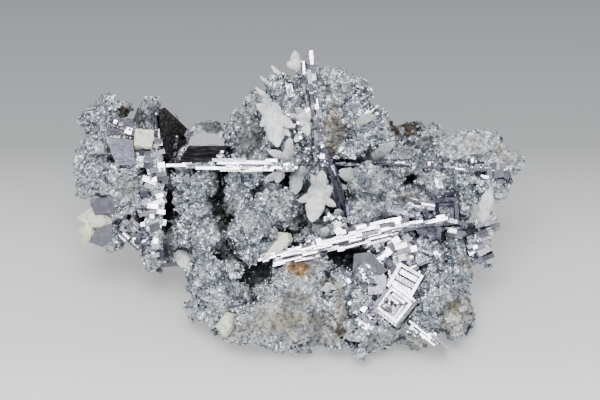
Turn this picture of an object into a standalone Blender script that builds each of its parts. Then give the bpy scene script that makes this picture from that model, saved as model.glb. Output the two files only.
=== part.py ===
"""A hand-sized mineral specimen: a skeletal galena boxwork with calcite blades grown on it.

Thin galena plates stand square to the specimen's display face and meet in a boxwork. Lumps coated
with fine crystals fill the space between them, and stepped hopper crystals sit on the front.
White calcite blades and cream dolomite are separate crystals that grew into the galena's surface.

Every crystal is placed in the face frame, in millimetres: x runs across the display face, y up it
and z out of it. LEAN tips that frame back, so that the specimen rests on its broken, flat base.
"""

import math
import random

import bmesh
import bpy
from mathutils import Matrix, Vector

MM = 0.001
LEAN = 50.0  # degrees that the display face leans back from lying face up
BASE_SHIFT = (0.4, -31.4, 0.0)  # mm, brings the base's middle to the origin
SEAT_GAP = 0.45  # mm of clearance between a crystal and the galena that it sits in
LUMP_ROUGHNESS = 0.3
LARGE_LUMP = 5.6  # mm, the mean radius above which a lump has more facets
LARGE_POINTS = 20
SMALL_POINTS = 14
GAP_POINTS = 10
KEPT_SHARE = 0.58  # of the joined facets, once the slivers along the joins are merged

# Lumps of the boxwork: middle (x, y, z) and radii (x, y, z).
LEFT_WING_LUMPS = [
    (-56.0, 65.0, -8.0, 6.2, 5.4, 7.0),
    (-51.0, 61.5, -8.0, 6.2, 5.0, 7.0),
    (-57.5, 57.5, -9.0, 4.8, 3.8, 7.0),
    (-51.0, 68.0, -12.0, 3.2, 2.2, 4.0),
    (-42.8, 66.5, -10.0, 3.2, 4.6, 6.0),
    (-55.5, 50.0, -7.0, 7.2, 5.6, 8.0),
    (-49.5, 46.5, -5.5, 6.2, 5.0, 7.0),
    (-58.0, 46.0, -8.0, 4.6, 4.0, 6.0),
    (-46.5, 41.0, -7.0, 6.2, 4.0, 7.0),
    (-53.5, 39.5, -9.0, 5.8, 4.8, 7.0),
    (-54.5, 32.0, -11.0, 5.4, 3.6, 6.0),
    (-46.5, 35.0, -13.0, 5.4, 4.6, 6.0),
    (-41.0, 27.2, -10.0, 3.4, 3.8, 6.0),
    (-34.5, 30.0, -13.0, 4.2, 5.4, 7.0),
    (-44.5, 48.0, -20.0, 8.0, 15.0, 8.0),
    (-51.5, 46.0, -17.0, 7.0, 12.0, 6.0),
]
CENTRE_LUMPS = [
    (-15.5, 60.5, -6.0, 6.0, 7.4, 8.0),
    (-11.5, 55.0, -8.0, 4.4, 4.4, 6.0),
    (-13.0, 69.5, -10.0, 2.4, 3.4, 4.0),
    (-25.5, 62.0, -11.5, 5.6, 3.2, 5.0),
    (-33.0, 47.4, -5.0, 4.8, 4.2, 5.6),
    (-27.4, 46.6, -4.6, 4.6, 5.0, 6.2),
    (-28.8, 40.4, -5.0, 4.4, 5.4, 6.0),
    (-16.8, 44.6, -7.0, 5.6, 5.6, 7.0),
    (-8.5, 46.6, -12.0, 4.0, 4.4, 6.0),
    (-6.8, 40.6, -1.5, 7.2, 6.2, 8.0),
    (-13.0, 35.0, -0.5, 8.0, 6.6, 9.0),
    (-11.5, 28.5, -1.0, 6.4, 4.4, 8.0),
    (-25.0, 32.0, -5.0, 5.6, 6.6, 7.0),
    (-26.0, 21.5, -1.0, 6.8, 6.0, 8.0),
    (-21.5, 14.5, 1.0, 7.0, 6.6, 8.0),
    (-27.5, 12.5, -2.0, 4.4, 4.6, 6.0),
    (3.0, 52.0, -12.0, 6.0, 8.0, 7.0),
    (-3.0, 61.5, -9.0, 6.6, 6.6, 5.5),
    (5.0, 62.5, -9.5, 5.6, 8.0, 5.0),
    (-3.8, 72.0, -10.0, 6.8, 8.2, 4.6),
    (11.0, 71.0, -12.5, 9.0, 8.6, 4.0),
    (17.0, 64.5, -9.5, 6.4, 5.6, 5.0),
]
RIGHT_WING_LUMPS = [
    (22.0, 60.0, -8.0, 7.0, 5.4, 7.0),
    (30.5, 62.0, -11.0, 4.6, 3.2, 5.0),
    (38.0, 60.6, -11.0, 5.0, 3.6, 5.0),
    (20.5, 48.0, -4.0, 7.6, 6.4, 8.0),
    (17.8, 40.0, -4.0, 5.4, 5.6, 8.0),
    (28.5, 53.5, -6.0, 7.0, 4.4, 7.0),
    (30.0, 44.5, -6.0, 5.0, 4.8, 6.0),
    (38.0, 47.5, -5.5, 6.2, 5.4, 7.0),
    (45.5, 46.0, -7.0, 5.4, 5.2, 6.0),
    (33.0, 38.6, -5.0, 5.4, 3.6, 6.0),
    (47.2, 26.8, -10.0, 3.4, 3.8, 5.0),
    (44.2, 31.5, -9.0, 4.4, 5.0, 6.0),
    (50.5, 30.5, -13.0, 4.2, 5.4, 5.0),
    (49.0, 57.4, -8.5, 9.0, 3.9, 5.4),
    (56.0, 55.2, -9.0, 5.6, 3.2, 4.4),
    (42.6, 57.2, -9.0, 5.4, 3.8, 5.4),
]
FRONT_LUMPS = [
    (-3.0, 10.0, 3.5, 15.0, 9.0, 12.0),
    (-1.5, 19.5, 2.5, 9.2, 8.0, 11.0),
    (-14.5, 7.5, 2.0, 8.0, 6.4, 9.0),
    (9.0, 9.5, 4.0, 7.0, 8.0, 10.0),
    (18.5, 6.4, 4.0, 11.0, 5.4, 9.0),
    (18.2, 20.0, 2.0, 5.8, 6.2, 8.0),
    (38.0, 17.0, 0.5, 9.2, 8.8, 10.0),
    (32.0, 9.0, 2.5, 9.0, 7.0, 9.0),
    (43.5, 10.5, 0.5, 5.4, 7.0, 8.0),
    (31.5, 27.5, -1.0, 9.2, 4.4, 8.0),
    (42.6, 23.0, -3.0, 5.0, 4.8, 7.0),
    (25.5, 14.0, 0.5, 7.0, 7.0, 7.0),
]
# Lower lumps that close the gaps between the others down to narrow, shaded grooves.
GAP_LUMPS = [
    (15.0, 57.2, -6.0, 6.6, 3.4, 6.0),
    (24.4, 40.8, -5.0, 5.0, 5.8, 6.6),
    (38.6, 42.2, -7.0, 7.4, 3.4, 6.0),
    (43.4, 28.8, -4.5, 4.6, 5.2, 6.0),
    (26.5, 32.0, -1.2, 6.6, 3.6, 7.0),
    (11.2, 18.0, 3.0, 5.0, 4.8, 8.0),
    (5.6, 25.8, 3.0, 3.8, 3.8, 7.0),
    (-9.4, 16.4, 3.0, 3.8, 5.2, 8.0),
    (-19.2, 22.6, 0.0, 5.2, 4.2, 7.0),
    (-5.2, 37.0, -2.0, 4.2, 4.4, 7.5),
    (3.5, 31.0, -3.0, 7.2, 3.0, 6.0),
    (-14.0, 48.2, -5.0, 7.4, 4.2, 6.5),
    (-15.4, 40.4, -4.0, 5.2, 3.8, 6.5),
    (-33.5, 33.6, -6.0, 4.6, 6.2, 7.0),
    (-31.2, 42.4, -4.5, 4.4, 5.0, 6.0),
    (-35.0, 47.6, -5.5, 4.6, 4.2, 5.4),
    (-25.6, 47.8, -5.5, 3.8, 4.6, 5.6),
    (-47.5, 50.6, -6.5, 4.4, 3.2, 6.0),
    (-43.0, 62.6, -9.0, 3.8, 3.4, 5.0),
    (16.6, 13.4, 5.0, 3.6, 4.8, 7.0),
    (-0.4, 55.6, -6.0, 4.8, 4.0, 5.2),
    (-8.6, 59.6, -7.0, 4.2, 3.6, 5.8),
    (15.4, 36.4, -3.5, 3.8, 3.4, 6.0),
]
# Lumps of the back and the base, upright: middle (across, back, height) and radii, in mm.
CORE_LUMPS = [
    (3.0, 23.0, 3.0, 31.0, 18.0, 8.0),
    (-3.0, 9.0, 3.0, 24.0, 9.0, 6.0),
    (-9.0, 42.0, 10.0, 19.0, 13.0, 15.0),
    (22.0, 39.0, 11.0, 19.0, 13.0, 14.0),
    (-26.0, 40.0, 17.0, 12.0, 10.0, 12.0),
    (-6.0, 50.0, 31.0, 14.0, 8.0, 14.0),
    (12.0, 50.0, 34.0, 13.0, 7.0, 13.0),
    (28.0, 45.0, 29.0, 13.0, 9.0, 11.0),
    (44.0, 41.0, 28.0, 10.0, 6.5, 9.0),
    (-42.0, 43.0, 29.0, 11.0, 7.0, 12.0),
    (-3.0, 33.0, 16.0, 22.0, 9.0, 10.0),
    (26.0, 33.0, 16.0, 14.0, 9.0, 9.0),
    (-27.0, 46.0, 30.0, 12.0, 7.0, 11.0),
    (36.0, 46.0, 33.0, 9.0, 6.0, 9.0),
]

# Ragged plates that stand square to the face:
# start (x, y), end (x, y), thickness, back, front, swing of the back edge, steps.
PLATES = [
    ((-35.6, 51.7), (-3.0, 52.0), 1.4, -27.0, 3.0, 0.0, 6),
    ((-21.4, 53.4), (-4.5, 53.3), 1.6, -24.0, 4.0, 0.0, 4),
    ((-20.6, 51.1), (-5.4, 51.3), 1.3, -22.0, 3.6, 0.0, 4),
    ((-10.8, 26.2), (29.0, 35.6), 1.7, -20.0, 8.0, 0.0, 6),
    ((5.5, 28.4), (26.0, 32.9), 1.9, -16.0, 7.0, 0.0, 4),
    ((14.6, 33.0), (29.6, 36.6), 2.4, -14.0, 9.5, 0.0, 3),
    ((26.4, 34.2), (41.0, 37.4), 2.2, -16.0, 7.0, 0.0, 3),
    ((-40.6, 66.0), (-39.0, 25.0), 1.8, -26.0, -2.0, 4.0, 5),
    ((-42.0, 54.0), (-40.6, 31.0), 2.0, -20.0, -3.0, 3.0, 5),
    ((2.6, 83.8), (5.4, 57.0), 2.1, -21.0, -2.0, 0.0, 5),
    ((0.7, 81.2), (3.0, 60.0), 1.1, -18.0, -3.0, 0.0, 4),
    ((4.8, 58.4), (9.2, 49.6), 2.6, -22.0, -1.0, 0.0, 3),
    ((8.6, 52.0), (13.4, 34.6), 1.6, -20.0, 0.0, -3.0, 4),
    ((14.2, 67.8), (19.4, 72.6), 0.9, -13.0, -5.0, 0.0, 2),
    ((15.6, 66.8), (20.2, 71.0), 0.9, -13.0, -5.6, 0.0, 2),
    ((35.0, 51.6), (52.0, 51.0), 1.3, -14.0, -2.0, 0.0, 3),
    ((30.0, 8.6), (37.4, 2.8), 1.3, 2.0, 12.5, 0.0, 2),
    ((33.0, 7.4), (40.0, 2.0), 1.2, 0.0, 11.0, 0.0, 2),
    ((11.8, 5.4), (17.2, 0.6), 1.6, 2.0, 11.0, 0.0, 2),
    ((-52.8, 35.4), (-45.6, 28.6), 1.8, -12.0, -4.0, 0.0, 3),
    ((-49.6, 37.6), (-43.4, 31.8), 0.9, -12.0, -5.5, 0.0, 3),
    ((-47.6, 39.0), (-42.2, 34.0), 0.9, -12.0, -6.4, 0.0, 3),
    ((28.0, 22.6), (35.4, 26.0), 1.2, -2.0, 9.0, 0.0, 2),
]

# Flat crystal faces: outline of (x, y) points, z of its middle, slopes of z along x and y, thickness.
SHEETS = [
    ([(-54.0, 60.4), (-46.8, 59.4), (-46.2, 52.6), (-51.0, 52.2), (-53.0, 55.8)], -0.6, 0.05, -0.1, 5.0),
    ([(-53.4, 66.0), (-46.8, 65.4), (-46.6, 60.6), (-54.4, 60.8)], -2.0, 0.1, -0.4, 5.0),
    ([(-59.2, 42.8), (-52.4, 43.4), (-52.0, 39.0), (-57.6, 38.4)], -2.4, 0.2, 0.1, 5.0),
    ([(-59.6, 30.8), (-57.4, 34.4), (-53.0, 36.0), (-52.8, 31.4), (-55.6, 29.2)], -4.8, 0.1, 0.3, 4.0),
    ([(-39.6, 68.0), (-38.0, 68.6), (-31.8, 62.6), (-36.4, 52.4), (-39.2, 56.0)], -7.0, -1.5, 0.2, 3.5),
    ([(-34.4, 61.0), (-31.0, 60.0), (-31.6, 54.6), (-35.4, 52.6)], -10.5, -0.7, 0.5, 4.0),
    (
        [(-31.6, 57.2), (-31.4, 61.8), (-28.6, 64.0), (-23.6, 64.8), (-21.4, 62.0), (-21.2, 57.2)],
        -5.4, 0.0, -0.55, 5.0,
    ),
    ([(-35.0, 51.9), (-31.4, 57.8), (-21.0, 57.8), (-20.4, 53.4)], -4.8, 0.0, 0.9, 5.0),
    (
        [(2.8, 79.0), (11.0, 79.6), (17.6, 76.6), (20.2, 72.0), (15.0, 66.0), (5.6, 64.0)],
        -8.2, -0.05, -0.15, 4.0,
    ),
    (
        [
            (40.0, 59.2), (47.6, 61.4), (53.6, 60.0), (58.6, 57.4),
            (62.4, 53.0), (60.0, 51.2), (50.4, 53.4), (41.0, 54.0),
        ],
        -6.0, -0.1, -0.2, 6.0,
    ),
    ([(32.2, 34.4), (39.6, 35.0), (39.2, 29.6), (35.6, 29.0)], 1.6, 0.1, 0.7, 6.0),
    ([(15.0, 27.6), (19.6, 28.2), (24.2, 23.0), (20.6, 20.4), (14.4, 21.0)], 8.4, 0.3, 0.25, 5.0),
    ([(18.6, 22.0), (24.0, 21.6), (23.6, 16.6), (19.0, 16.4)], 9.4, 0.2, -0.3, 5.0),
]

# Galena cubes: middle (x, y, z), sides (x, y, z), turn in the face, tilt out of it, in degrees.
BLOCKS = [
    ((-43.6, 53.6, -3.4), (4.6, 4.8, 6.0), -3, -8),
    ((-40.0, 55.0, -3.0), (3.0, 3.0, 5.0), 20, 10),
    ((-41.2, 49.6, -2.4), (3.4, 3.4, 5.0), 8, -12),
    ((-39.4, 46.0, -2.0), (3.2, 3.8, 6.0), -14, 14),
    ((-41.6, 43.0, -2.2), (4.4, 3.6, 5.0), 10, -10),
    ((-40.2, 39.6, -2.2), (4.6, 4.2, 6.0), -6, 12),
    ((-41.6, 35.2, -2.8), (4.0, 4.0, 6.0), 16, -14),
    ((-39.8, 31.6, -3.2), (3.2, 4.4, 6.0), -8, 10),
    ((-46.6, 35.2, -6.0), (5.0, 4.6, 5.0), -42, 22),
    ((-43.8, 31.2, -6.2), (4.6, 2.8, 5.0), 24, -30),
    ((-3.4, 51.8, 2.4), (4.2, 2.6, 5.0), 4, 6),
    ((56.2, 50.2, -6.0), (7.6, 3.4, 6.0), 6, -18),
    ((53.6, 46.8, -5.4), (6.4, 3.4, 6.0), -6, 14),
    ((58.4, 47.2, -8.0), (3.2, 3.4, 5.0), 12, -20),
    ((52.4, 36.4, -6.0), (7.0, 2.6, 6.0), 16, -24),
    ((51.8, 33.8, -6.6), (6.8, 2.4, 6.0), 18, 16),
    ((50.6, 30.4, -7.0), (5.6, 4.6, 6.0), -22, -12),
    ((51.8, 26.2, -8.0), (5.0, 3.6, 5.0), -14, 20),
    ((18.4, 8.6, 10.6), (4.4, 3.2, 4.0), -34, 10),
    ((29.6, 29.6, 5.4), (5.0, 3.0, 5.0), 14, 24),
    ((35.8, 27.2, 3.6), (4.4, 3.4, 5.0), -20, -18),
    ((22.4, 27.4, 5.0), (3.6, 3.0, 5.0), 36, 22),
    ((39.0, 24.6, 3.0), (3.4, 3.4, 5.0), 30, 16),
    ((28.2, 40.4, 2.0), (5.2, 3.8, 6.0), -14, 12),
    ((33.6, 41.0, 1.6), (6.8, 3.4, 6.0), -9, -12),
    ((-42.6, 47.0, -2.6), (2.6, 3.4, 5.0), -18, -10),
    ((-39.2, 51.8, -2.0), (2.4, 3.4, 5.0), 8, 8),
    ((-38.8, 42.6, -1.6), (2.4, 3.0, 5.0), 20, -8),
    ((-42.4, 38.0, -3.2), (2.8, 3.2, 5.0), 24, 12),
    ((-39.4, 35.4, -2.6), (2.2, 3.8, 5.0), -12, -10),
    ((-41.2, 58.4, -3.4), (2.8, 4.4, 5.0), -16, 12),
]

# Hopper crystals, whose faces step down in square terraces:
# middle of the face (x, y, z), side, height, terraces, turn, tilt.
HOPPERS = [
    ((29.0, 20.2, 11.5), 7.6, 7.0, 3, -30, -14),
    ((26.4, 12.6, 12.5), 9.4, 9.0, 4, -38, -8),
    ((20.4, 11.6, 11.0), 4.6, 6.0, 2, -38, 8),
    ((42.2, 37.6, 0.6), 7.6, 8.0, 2, 6, 12),
]

# Calcite and dolomite crystals. Each blade is its root and tip (x, y, z), width and thickness.
CALCITES = {
    "calcite_crown": [
        ((-1.2, 77.6, -9.0), (-2.0, 85.0, -7.0), 4.4, 2.6),
        ((-1.0, 78.4, -8.4), (-4.0, 81.6, -6.4), 2.4, 1.8),
    ],
    "calcite_side_blade_low": [((-7.0, 69.0, -8.0), (-12.6, 74.4, -6.5), 1.8, 1.0)],
    "calcite_side_blade_mid": [((-7.2, 73.8, -8.6), (-11.4, 77.6, -7.5), 1.4, 0.9)],
    "calcite_side_blade_top": [((-4.6, 76.6, -9.0), (-8.2, 80.6, -8.0), 1.6, 0.9)],
    "calcite_upper_spray": [
        ((-7.2, 70.4, -4.0), (-7.4, 58.6, 2.6), 5.6, 2.6),
        ((-6.0, 64.6, -4.0), (-12.2, 69.0, 0.8), 3.2, 1.8),
        ((-6.0, 66.2, -3.6), (-11.2, 63.8, 2.2), 2.8, 1.6),
        ((-6.6, 66.0, -3.4), (-1.4, 63.2, 2.8), 3.4, 1.8),
    ],
    "calcite_inner_mass": [
        ((0.2, 68.0, -6.0), (2.2, 60.4, 0.4), 3.8, 2.4),
        ((0.4, 61.6, -5.4), (2.8, 67.6, 0.2), 2.8, 2.0),
    ],
    "calcite_pair_above": [
        ((-3.2, 54.2, -2.0), (-9.0, 56.2, 5.6), 2.6, 1.7),
        ((-3.4, 54.2, -2.0), (-2.8, 60.0, 5.4), 3.0, 1.8),
    ],
    "calcite_pair_below": [
        ((-5.4, 50.2, 1.0), (-10.0, 47.8, 6.4), 2.4, 1.4),
        ((-4.8, 50.4, 1.0), (-6.8, 47.4, 7.2), 2.6, 1.6),
    ],
    "calcite_broad_blade": [((-0.8, 51.6, -6.0), (-1.4, 44.0, 3.0), 4.4, 1.6)],
    "calcite_main_cluster": [
        ((5.6, 43.0, -8.0), (6.2, 50.8, 4.6), 4.6, 3.0),
        ((5.8, 47.6, -6.0), (3.2, 36.4, 7.4), 6.4, 3.6),
        ((5.0, 44.0, -6.0), (-0.6, 42.2, 5.4), 2.8, 1.8),
        ((5.4, 43.6, -6.0), (10.0, 40.8, 4.6), 2.8, 2.0),
        ((5.0, 44.0, -7.0), (9.0, 46.0, 4.0), 4.6, 2.4),
        ((5.4, 45.0, -8.0), (3.2, 49.8, 2.4), 2.6, 1.6),
    ],
    "calcite_shaded_blade": [((7.0, 38.0, -10.0), (3.8, 33.4, 0.6), 4.0, 2.0)],
    "calcite_fan_blade": [((12.6, 63.6, -9.0), (21.0, 66.2, -2.0), 3.8, 1.6)],
    "calcite_curved_blade": [((20.4, 54.4, -6.0), (26.6, 58.8, 1.2), 3.4, 1.5)],
    "calcite_inner_blade": [((18.2, 48.6, -4.0), (11.6, 52.4, 3.6), 4.0, 1.4)],
    "calcite_long_blade": [((51.2, 33.6, -10.0), (55.0, 49.6, -8.6), 4.2, 1.8)],
    "calcite_foot": [((-34.6, 28.2, -9.0), (-31.4, 23.2, -4.4), 4.4, 2.4)],
    "calcite_flake": [((21.6, 26.0, -1.0), (23.0, 31.4, 7.4), 2.4, 1.2)],
}
# Blocky dolomite: middle (x, y, z), sides, turn and tilt.
DOLOMITE_BLOCKS = {
    "dolomite_left_block": [((-43.8, 59.0, -4.6), (5.0, 5.2, 10.0), -4, -12)],
}
# Massive dolomite: middle and radii of each lump.
DOLOMITE_LUMPS = {
    "dolomite_left_wedge": [(-57.0, 37.4, -7.4, 5.6, 3.4, 5.0), (-60.0, 33.6, -8.6, 2.8, 4.2, 4.4)],
    "dolomite_centre_wedge": [(-5.6, 31.2, 0.4, 3.6, 2.4, 4.8), (-9.2, 28.0, 2.2, 3.0, 1.6, 3.6)],
    "dolomite_front_rim": [(-20.6, 7.6, 5.4, 2.8, 3.8, 4.4)],
}
CRYSTALS = [*CALCITES, *DOLOMITE_BLOCKS, *DOLOMITE_LUMPS]
BLADE_STATIONS = [(0.0, 0.76), (0.6, 1.0), (1.0, 0.34)]  # share of length and of width
BLADE_SIDES = 6
GOLDEN_ANGLE = math.pi * (3 - math.sqrt(5))

MATERIALS = {
    "galena": ((0.20, 0.21, 0.24, 1.0), 0.38, 1.0),
    "calcite": ((0.80, 0.80, 0.77, 1.0), 0.35, 0.0),
    "dolomite": ((0.78, 0.76, 0.58, 1.0), 0.60, 0.0),
}  # base colour, roughness, metallic

FACE_TO_PART = (
    Matrix.Translation(Vector(BASE_SHIFT) * MM)
    @ Matrix.Rotation(math.radians(LEAN), 4, "X")
    @ Matrix.Scale(MM, 4)
)
UPRIGHT_TO_PART = Matrix.Translation(Vector(BASE_SHIFT) * MM) @ Matrix.Scale(MM, 4)


def add_mesh(bm, shape):
    """Moves one shape into the mesh that collects them all."""
    mesh = bpy.data.meshes.new("shape")
    shape.to_mesh(mesh)
    shape.free()
    bm.from_mesh(mesh)
    bpy.data.meshes.remove(mesh)


def add_prism(bm, lower, upper):
    """A closed solid between two outlines with the same number of points."""
    below = [bm.verts.new(point) for point in lower]
    above = [bm.verts.new(point) for point in upper]
    bm.faces.new(list(reversed(below)))
    bm.faces.new(above)
    count = len(below)
    for i in range(count):
        j = (i + 1) % count
        bm.faces.new((below[i], below[j], above[j], above[i]))


def add_lump(bm, row, seed, frame, grow=0.0):
    """An irregular faceted lump: the hull of roughened points spread over an ellipsoid."""
    middle, radii = Vector(row[:3]), Vector([radius + 1.2 * grow for radius in row[3:]])
    points = LARGE_POINTS if sum(row[3:]) / 3 > LARGE_LUMP else SMALL_POINTS
    if row in GAP_LUMPS:
        points = GAP_POINTS
    rng = random.Random(seed)
    shape = bmesh.new()
    for i in range(points):
        level = 1 - (2 * i + 1) / points
        angle = i * GOLDEN_ANGLE + rng.uniform(-0.5, 0.5)
        ring = math.sqrt(1 - level * level)
        swell = 1 + LUMP_ROUGHNESS * rng.uniform(-0.6, 0.6)
        spot = Vector((ring * math.cos(angle), ring * math.sin(angle), level)) * swell
        shape.verts.new(frame @ (middle + Vector([part * radius for part, radius in zip(spot, radii)])))
    hull = bmesh.ops.convex_hull(shape, input=shape.verts[:])
    bmesh.ops.delete(shape, geom=hull["geom_interior"], context="VERTS")
    add_mesh(bm, shape)


def add_plate(bm, start, end, thickness, back, front, swing, steps, seed):
    """A plate seen on edge, whose front edge steps in and out like a castle wall."""
    rng = random.Random(seed)
    start, end = Vector(start), Vector(end)
    along = (end - start).normalized()
    length, side = (end - start).length, Vector((-along.y, along.x)) * thickness / 2
    outline = [(length, back), (0.0, back)]
    for i in range(steps):
        depth = front - rng.uniform(0.0, 2.4)
        outline += [(i * length / steps, depth), ((i + 1) * length / steps, depth)]
    rings = []
    for sign in (-1, 1):
        ring = []
        for distance, depth in outline:
            lag = swing * (front - depth) / (front - back)
            spot = start + along * distance + side * sign + Vector((lag, 0.0))
            ring.append(FACE_TO_PART @ Vector((spot.x, spot.y, depth)))
        rings.append(ring)
    add_prism(bm, *rings)


def add_sheet(bm, outline, level, slope_x, slope_y, thickness):
    """A flat crystal face: its outline raised to a sloping plane, with parallel sides."""
    mid_x = sum(x for x, _ in outline) / len(outline)
    mid_y = sum(y for _, y in outline) / len(outline)
    rings = [[], []]
    for x, y in outline:
        z = level + slope_x * (x - mid_x) + slope_y * (y - mid_y)
        rings[0].append(FACE_TO_PART @ Vector((x, y, z - thickness)))
        rings[1].append(FACE_TO_PART @ Vector((x, y, z)))
    add_prism(bm, *rings)


def turned(middle, turn, tilt):
    """Places a crystal at its middle, turned in the face and tilted out of it."""
    return (
        FACE_TO_PART
        @ Matrix.Translation(middle)
        @ Matrix.Rotation(math.radians(turn), 4, "Z")
        @ Matrix.Rotation(math.radians(tilt), 4, "X")
    )


def add_block(bm, middle, sides, turn, tilt, grow=0.0):
    scale = Matrix.Diagonal((*(side + 2 * grow for side in sides), 1.0))
    bmesh.ops.create_cube(bm, size=1.0, matrix=turned(middle, turn, tilt) @ scale)


def add_hopper(bm, middle, side, height, terraces, turn, tilt):
    """A cube whose front face steps down to its middle in square terraces."""
    shape = bmesh.new()
    bmesh.ops.create_cube(shape, size=1.0, matrix=Matrix.Diagonal((side, side, height, 1.0)))
    face = max(shape.faces, key=lambda f: f.calc_center_median().z)
    rim = side / (2 * terraces + 2)
    for _ in range(terraces):
        bmesh.ops.inset_individual(shape, faces=[face], thickness=rim)
        face = bmesh.ops.extrude_discrete_faces(shape, faces=[face])["faces"][0]
        bmesh.ops.translate(shape, verts=face.verts[:], vec=(0.0, 0.0, -0.8 * rim))
    shape.transform(turned(middle, turn, tilt) @ Matrix.Translation((0.0, 0.0, -height / 2)))
    add_mesh(bm, shape)


def add_blade(bm, root, tip, width, thickness, grow):
    """A flat six-sided crystal that widens from its root and closes to a blunt tip."""
    root, tip = Vector(root), Vector(tip)
    axis = (tip - root).normalized()
    across = axis.cross(Vector((0.0, 0.0, 1.0))).normalized()
    out = across.cross(axis)
    length = (tip - root).length
    rings = []
    for share, scale in BLADE_STATIONS:
        place = root + axis * (share * (length + 2 * grow) - grow)
        ring = []
        for k in range(BLADE_SIDES):
            angle = 2 * math.pi * k / BLADE_SIDES
            wide = (width / 2 * scale + grow) * math.cos(angle) * across
            deep = (thickness / 2 * scale + grow) * math.sin(angle) * out
            ring.append(bm.verts.new(FACE_TO_PART @ (place + wide + deep)))
        rings.append(ring)
    bm.faces.new(rings[0])
    bm.faces.new(list(reversed(rings[-1])))
    for lower, upper in zip(rings, rings[1:]):
        for k in range(BLADE_SIDES):
            j = (k + 1) % BLADE_SIDES
            bm.faces.new((lower[k], upper[k], upper[j], lower[j]))


def object_of(name, bm):
    """A new object made from closed shells, with every face turned outwards."""
    bmesh.ops.recalc_face_normals(bm, faces=bm.faces[:])
    mesh = bpy.data.meshes.new(name)
    bm.to_mesh(mesh)
    bm.free()
    made = bpy.data.objects.new(name, mesh)
    bpy.context.scene.collection.objects.link(made)
    return made


def outer_shell(bm):
    """Deletes loose crumbs and sealed hollows, and keeps the shell that reaches furthest."""
    bm.verts.ensure_lookup_table()
    shells, seen = [], set()
    for first in bm.verts:
        if first in seen:
            continue
        shell, front = {first}, [first]
        while front:
            for edge in front.pop().link_edges:
                for vert in edge.verts:
                    if vert not in shell:
                        shell.add(vert)
                        front.append(vert)
        seen |= shell
        shells.append(shell)
    reach = [sum(max(v.co[k] for v in s) - min(v.co[k] for v in s) for k in range(3)) for s in shells]
    keep = shells[reach.index(max(reach))]
    bmesh.ops.delete(bm, geom=[v for v in bm.verts if v not in keep], context="VERTS")


def bake(target, modifier):
    """Writes a modifier's result into the mesh as triangles, less its loose crumbs."""
    bpy.context.view_layer.update()
    evaluated = target.evaluated_get(bpy.context.evaluated_depsgraph_get())
    bm = bmesh.new()
    bm.from_mesh(evaluated.to_mesh())
    evaluated.to_mesh_clear()
    outer_shell(bm)
    bmesh.ops.triangulate(bm, faces=bm.faces[:])
    target.modifiers.remove(modifier)
    bm.to_mesh(target.data)
    bm.free()


def apply_boolean(target, other, operation):
    """Applies an exact Boolean that also joins the target's overlapping shells."""
    modifier = target.modifiers.new(operation.lower(), "BOOLEAN")
    modifier.operation = operation
    modifier.object = other
    modifier.solver = "EXACT"
    modifier.use_self = True
    bake(target, modifier)


def block_above(level):
    """All the space above a level, in metres."""
    bm = bmesh.new()
    side, height = 0.4, 0.2
    middle = Matrix.Translation((0.0, 0.0, level + height / 2))
    place = middle @ Matrix.Diagonal((side, side, height, 1.0))
    bmesh.ops.create_cube(bm, size=1.0, matrix=place)
    made = object_of("space_above", bm)
    made.hide_render = True
    made.display_type = "WIRE"
    return made


def make_galena():
    """The whole boxwork as one solid, cut flat at its base."""
    bm = bmesh.new()
    lumps = LEFT_WING_LUMPS + CENTRE_LUMPS + RIGHT_WING_LUMPS + FRONT_LUMPS + GAP_LUMPS
    for seed, row in enumerate(lumps):
        add_lump(bm, row, seed, FACE_TO_PART)
    for seed, row in enumerate(CORE_LUMPS):
        add_lump(bm, row, seed, UPRIGHT_TO_PART)
    for seed, row in enumerate(PLATES):
        add_plate(bm, *row, seed)
    for row in SHEETS:
        add_sheet(bm, *row)
    for row in BLOCKS:
        add_block(bm, *row)
    for row in HOPPERS:
        add_hopper(bm, *row)
    galena = object_of("galena_skeleton", bm)
    fused = block_above(-0.02)
    apply_boolean(galena, fused, "INTERSECT")
    bpy.data.objects.remove(fused)
    modifier = galena.modifiers.new("simplify", "DECIMATE")
    modifier.ratio = KEPT_SHARE
    bake(galena, modifier)
    return galena


def crystal_shapes(name, grow):
    """The shapes of one crystal group, all grown outwards by a margin in mm."""
    bm = bmesh.new()
    for blade in CALCITES.get(name, []):
        add_blade(bm, *blade, grow)
    for block in DOLOMITE_BLOCKS.get(name, []):
        add_block(bm, *block, grow)
    for seed, row in enumerate(DOLOMITE_LUMPS.get(name, [])):
        add_lump(bm, row, seed, FACE_TO_PART, grow)
    return bm


def make_crystals():
    """Each calcite or dolomite group as its own solid."""
    made = []
    for name in CRYSTALS:
        made.append(object_of(name, crystal_shapes(name, 0.0)))
    return made


def cut_seats(galena):
    """Cuts the seats of the crystals out of the galena, a little wider than the crystals."""
    bm = bmesh.new()
    for name in CRYSTALS:
        add_mesh(bm, crystal_shapes(name, SEAT_GAP))
    seats = object_of("seats", bm)
    apply_boolean(galena, seats, "DIFFERENCE")
    bpy.data.objects.remove(seats)


def give_material(obj, name):
    """One material for each mineral, shared by its crystals."""
    material = bpy.data.materials.get(name)
    if material is None:
        colour, roughness, metallic = MATERIALS[name]
        material = bpy.data.materials.new(name)
        material.use_nodes = True
        shader = material.node_tree.nodes["Principled BSDF"]
        shader.inputs["Base Color"].default_value = colour
        shader.inputs["Roughness"].default_value = roughness
        shader.inputs["Metallic"].default_value = metallic
    obj.data.materials.clear()
    obj.data.materials.append(material)


def main():
    for old in list(bpy.data.objects):
        bpy.data.objects.remove(old)
    galena = make_galena()
    crystals = make_crystals()
    cut_seats(galena)
    above_base = block_above(0.0)
    for solid in (galena, *crystals):
        apply_boolean(solid, above_base, "INTERSECT")
    bpy.data.objects.remove(above_base)
    give_material(galena, "galena")
    for crystal in crystals:
        give_material(crystal, crystal.name.split("_")[0])


main()
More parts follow.
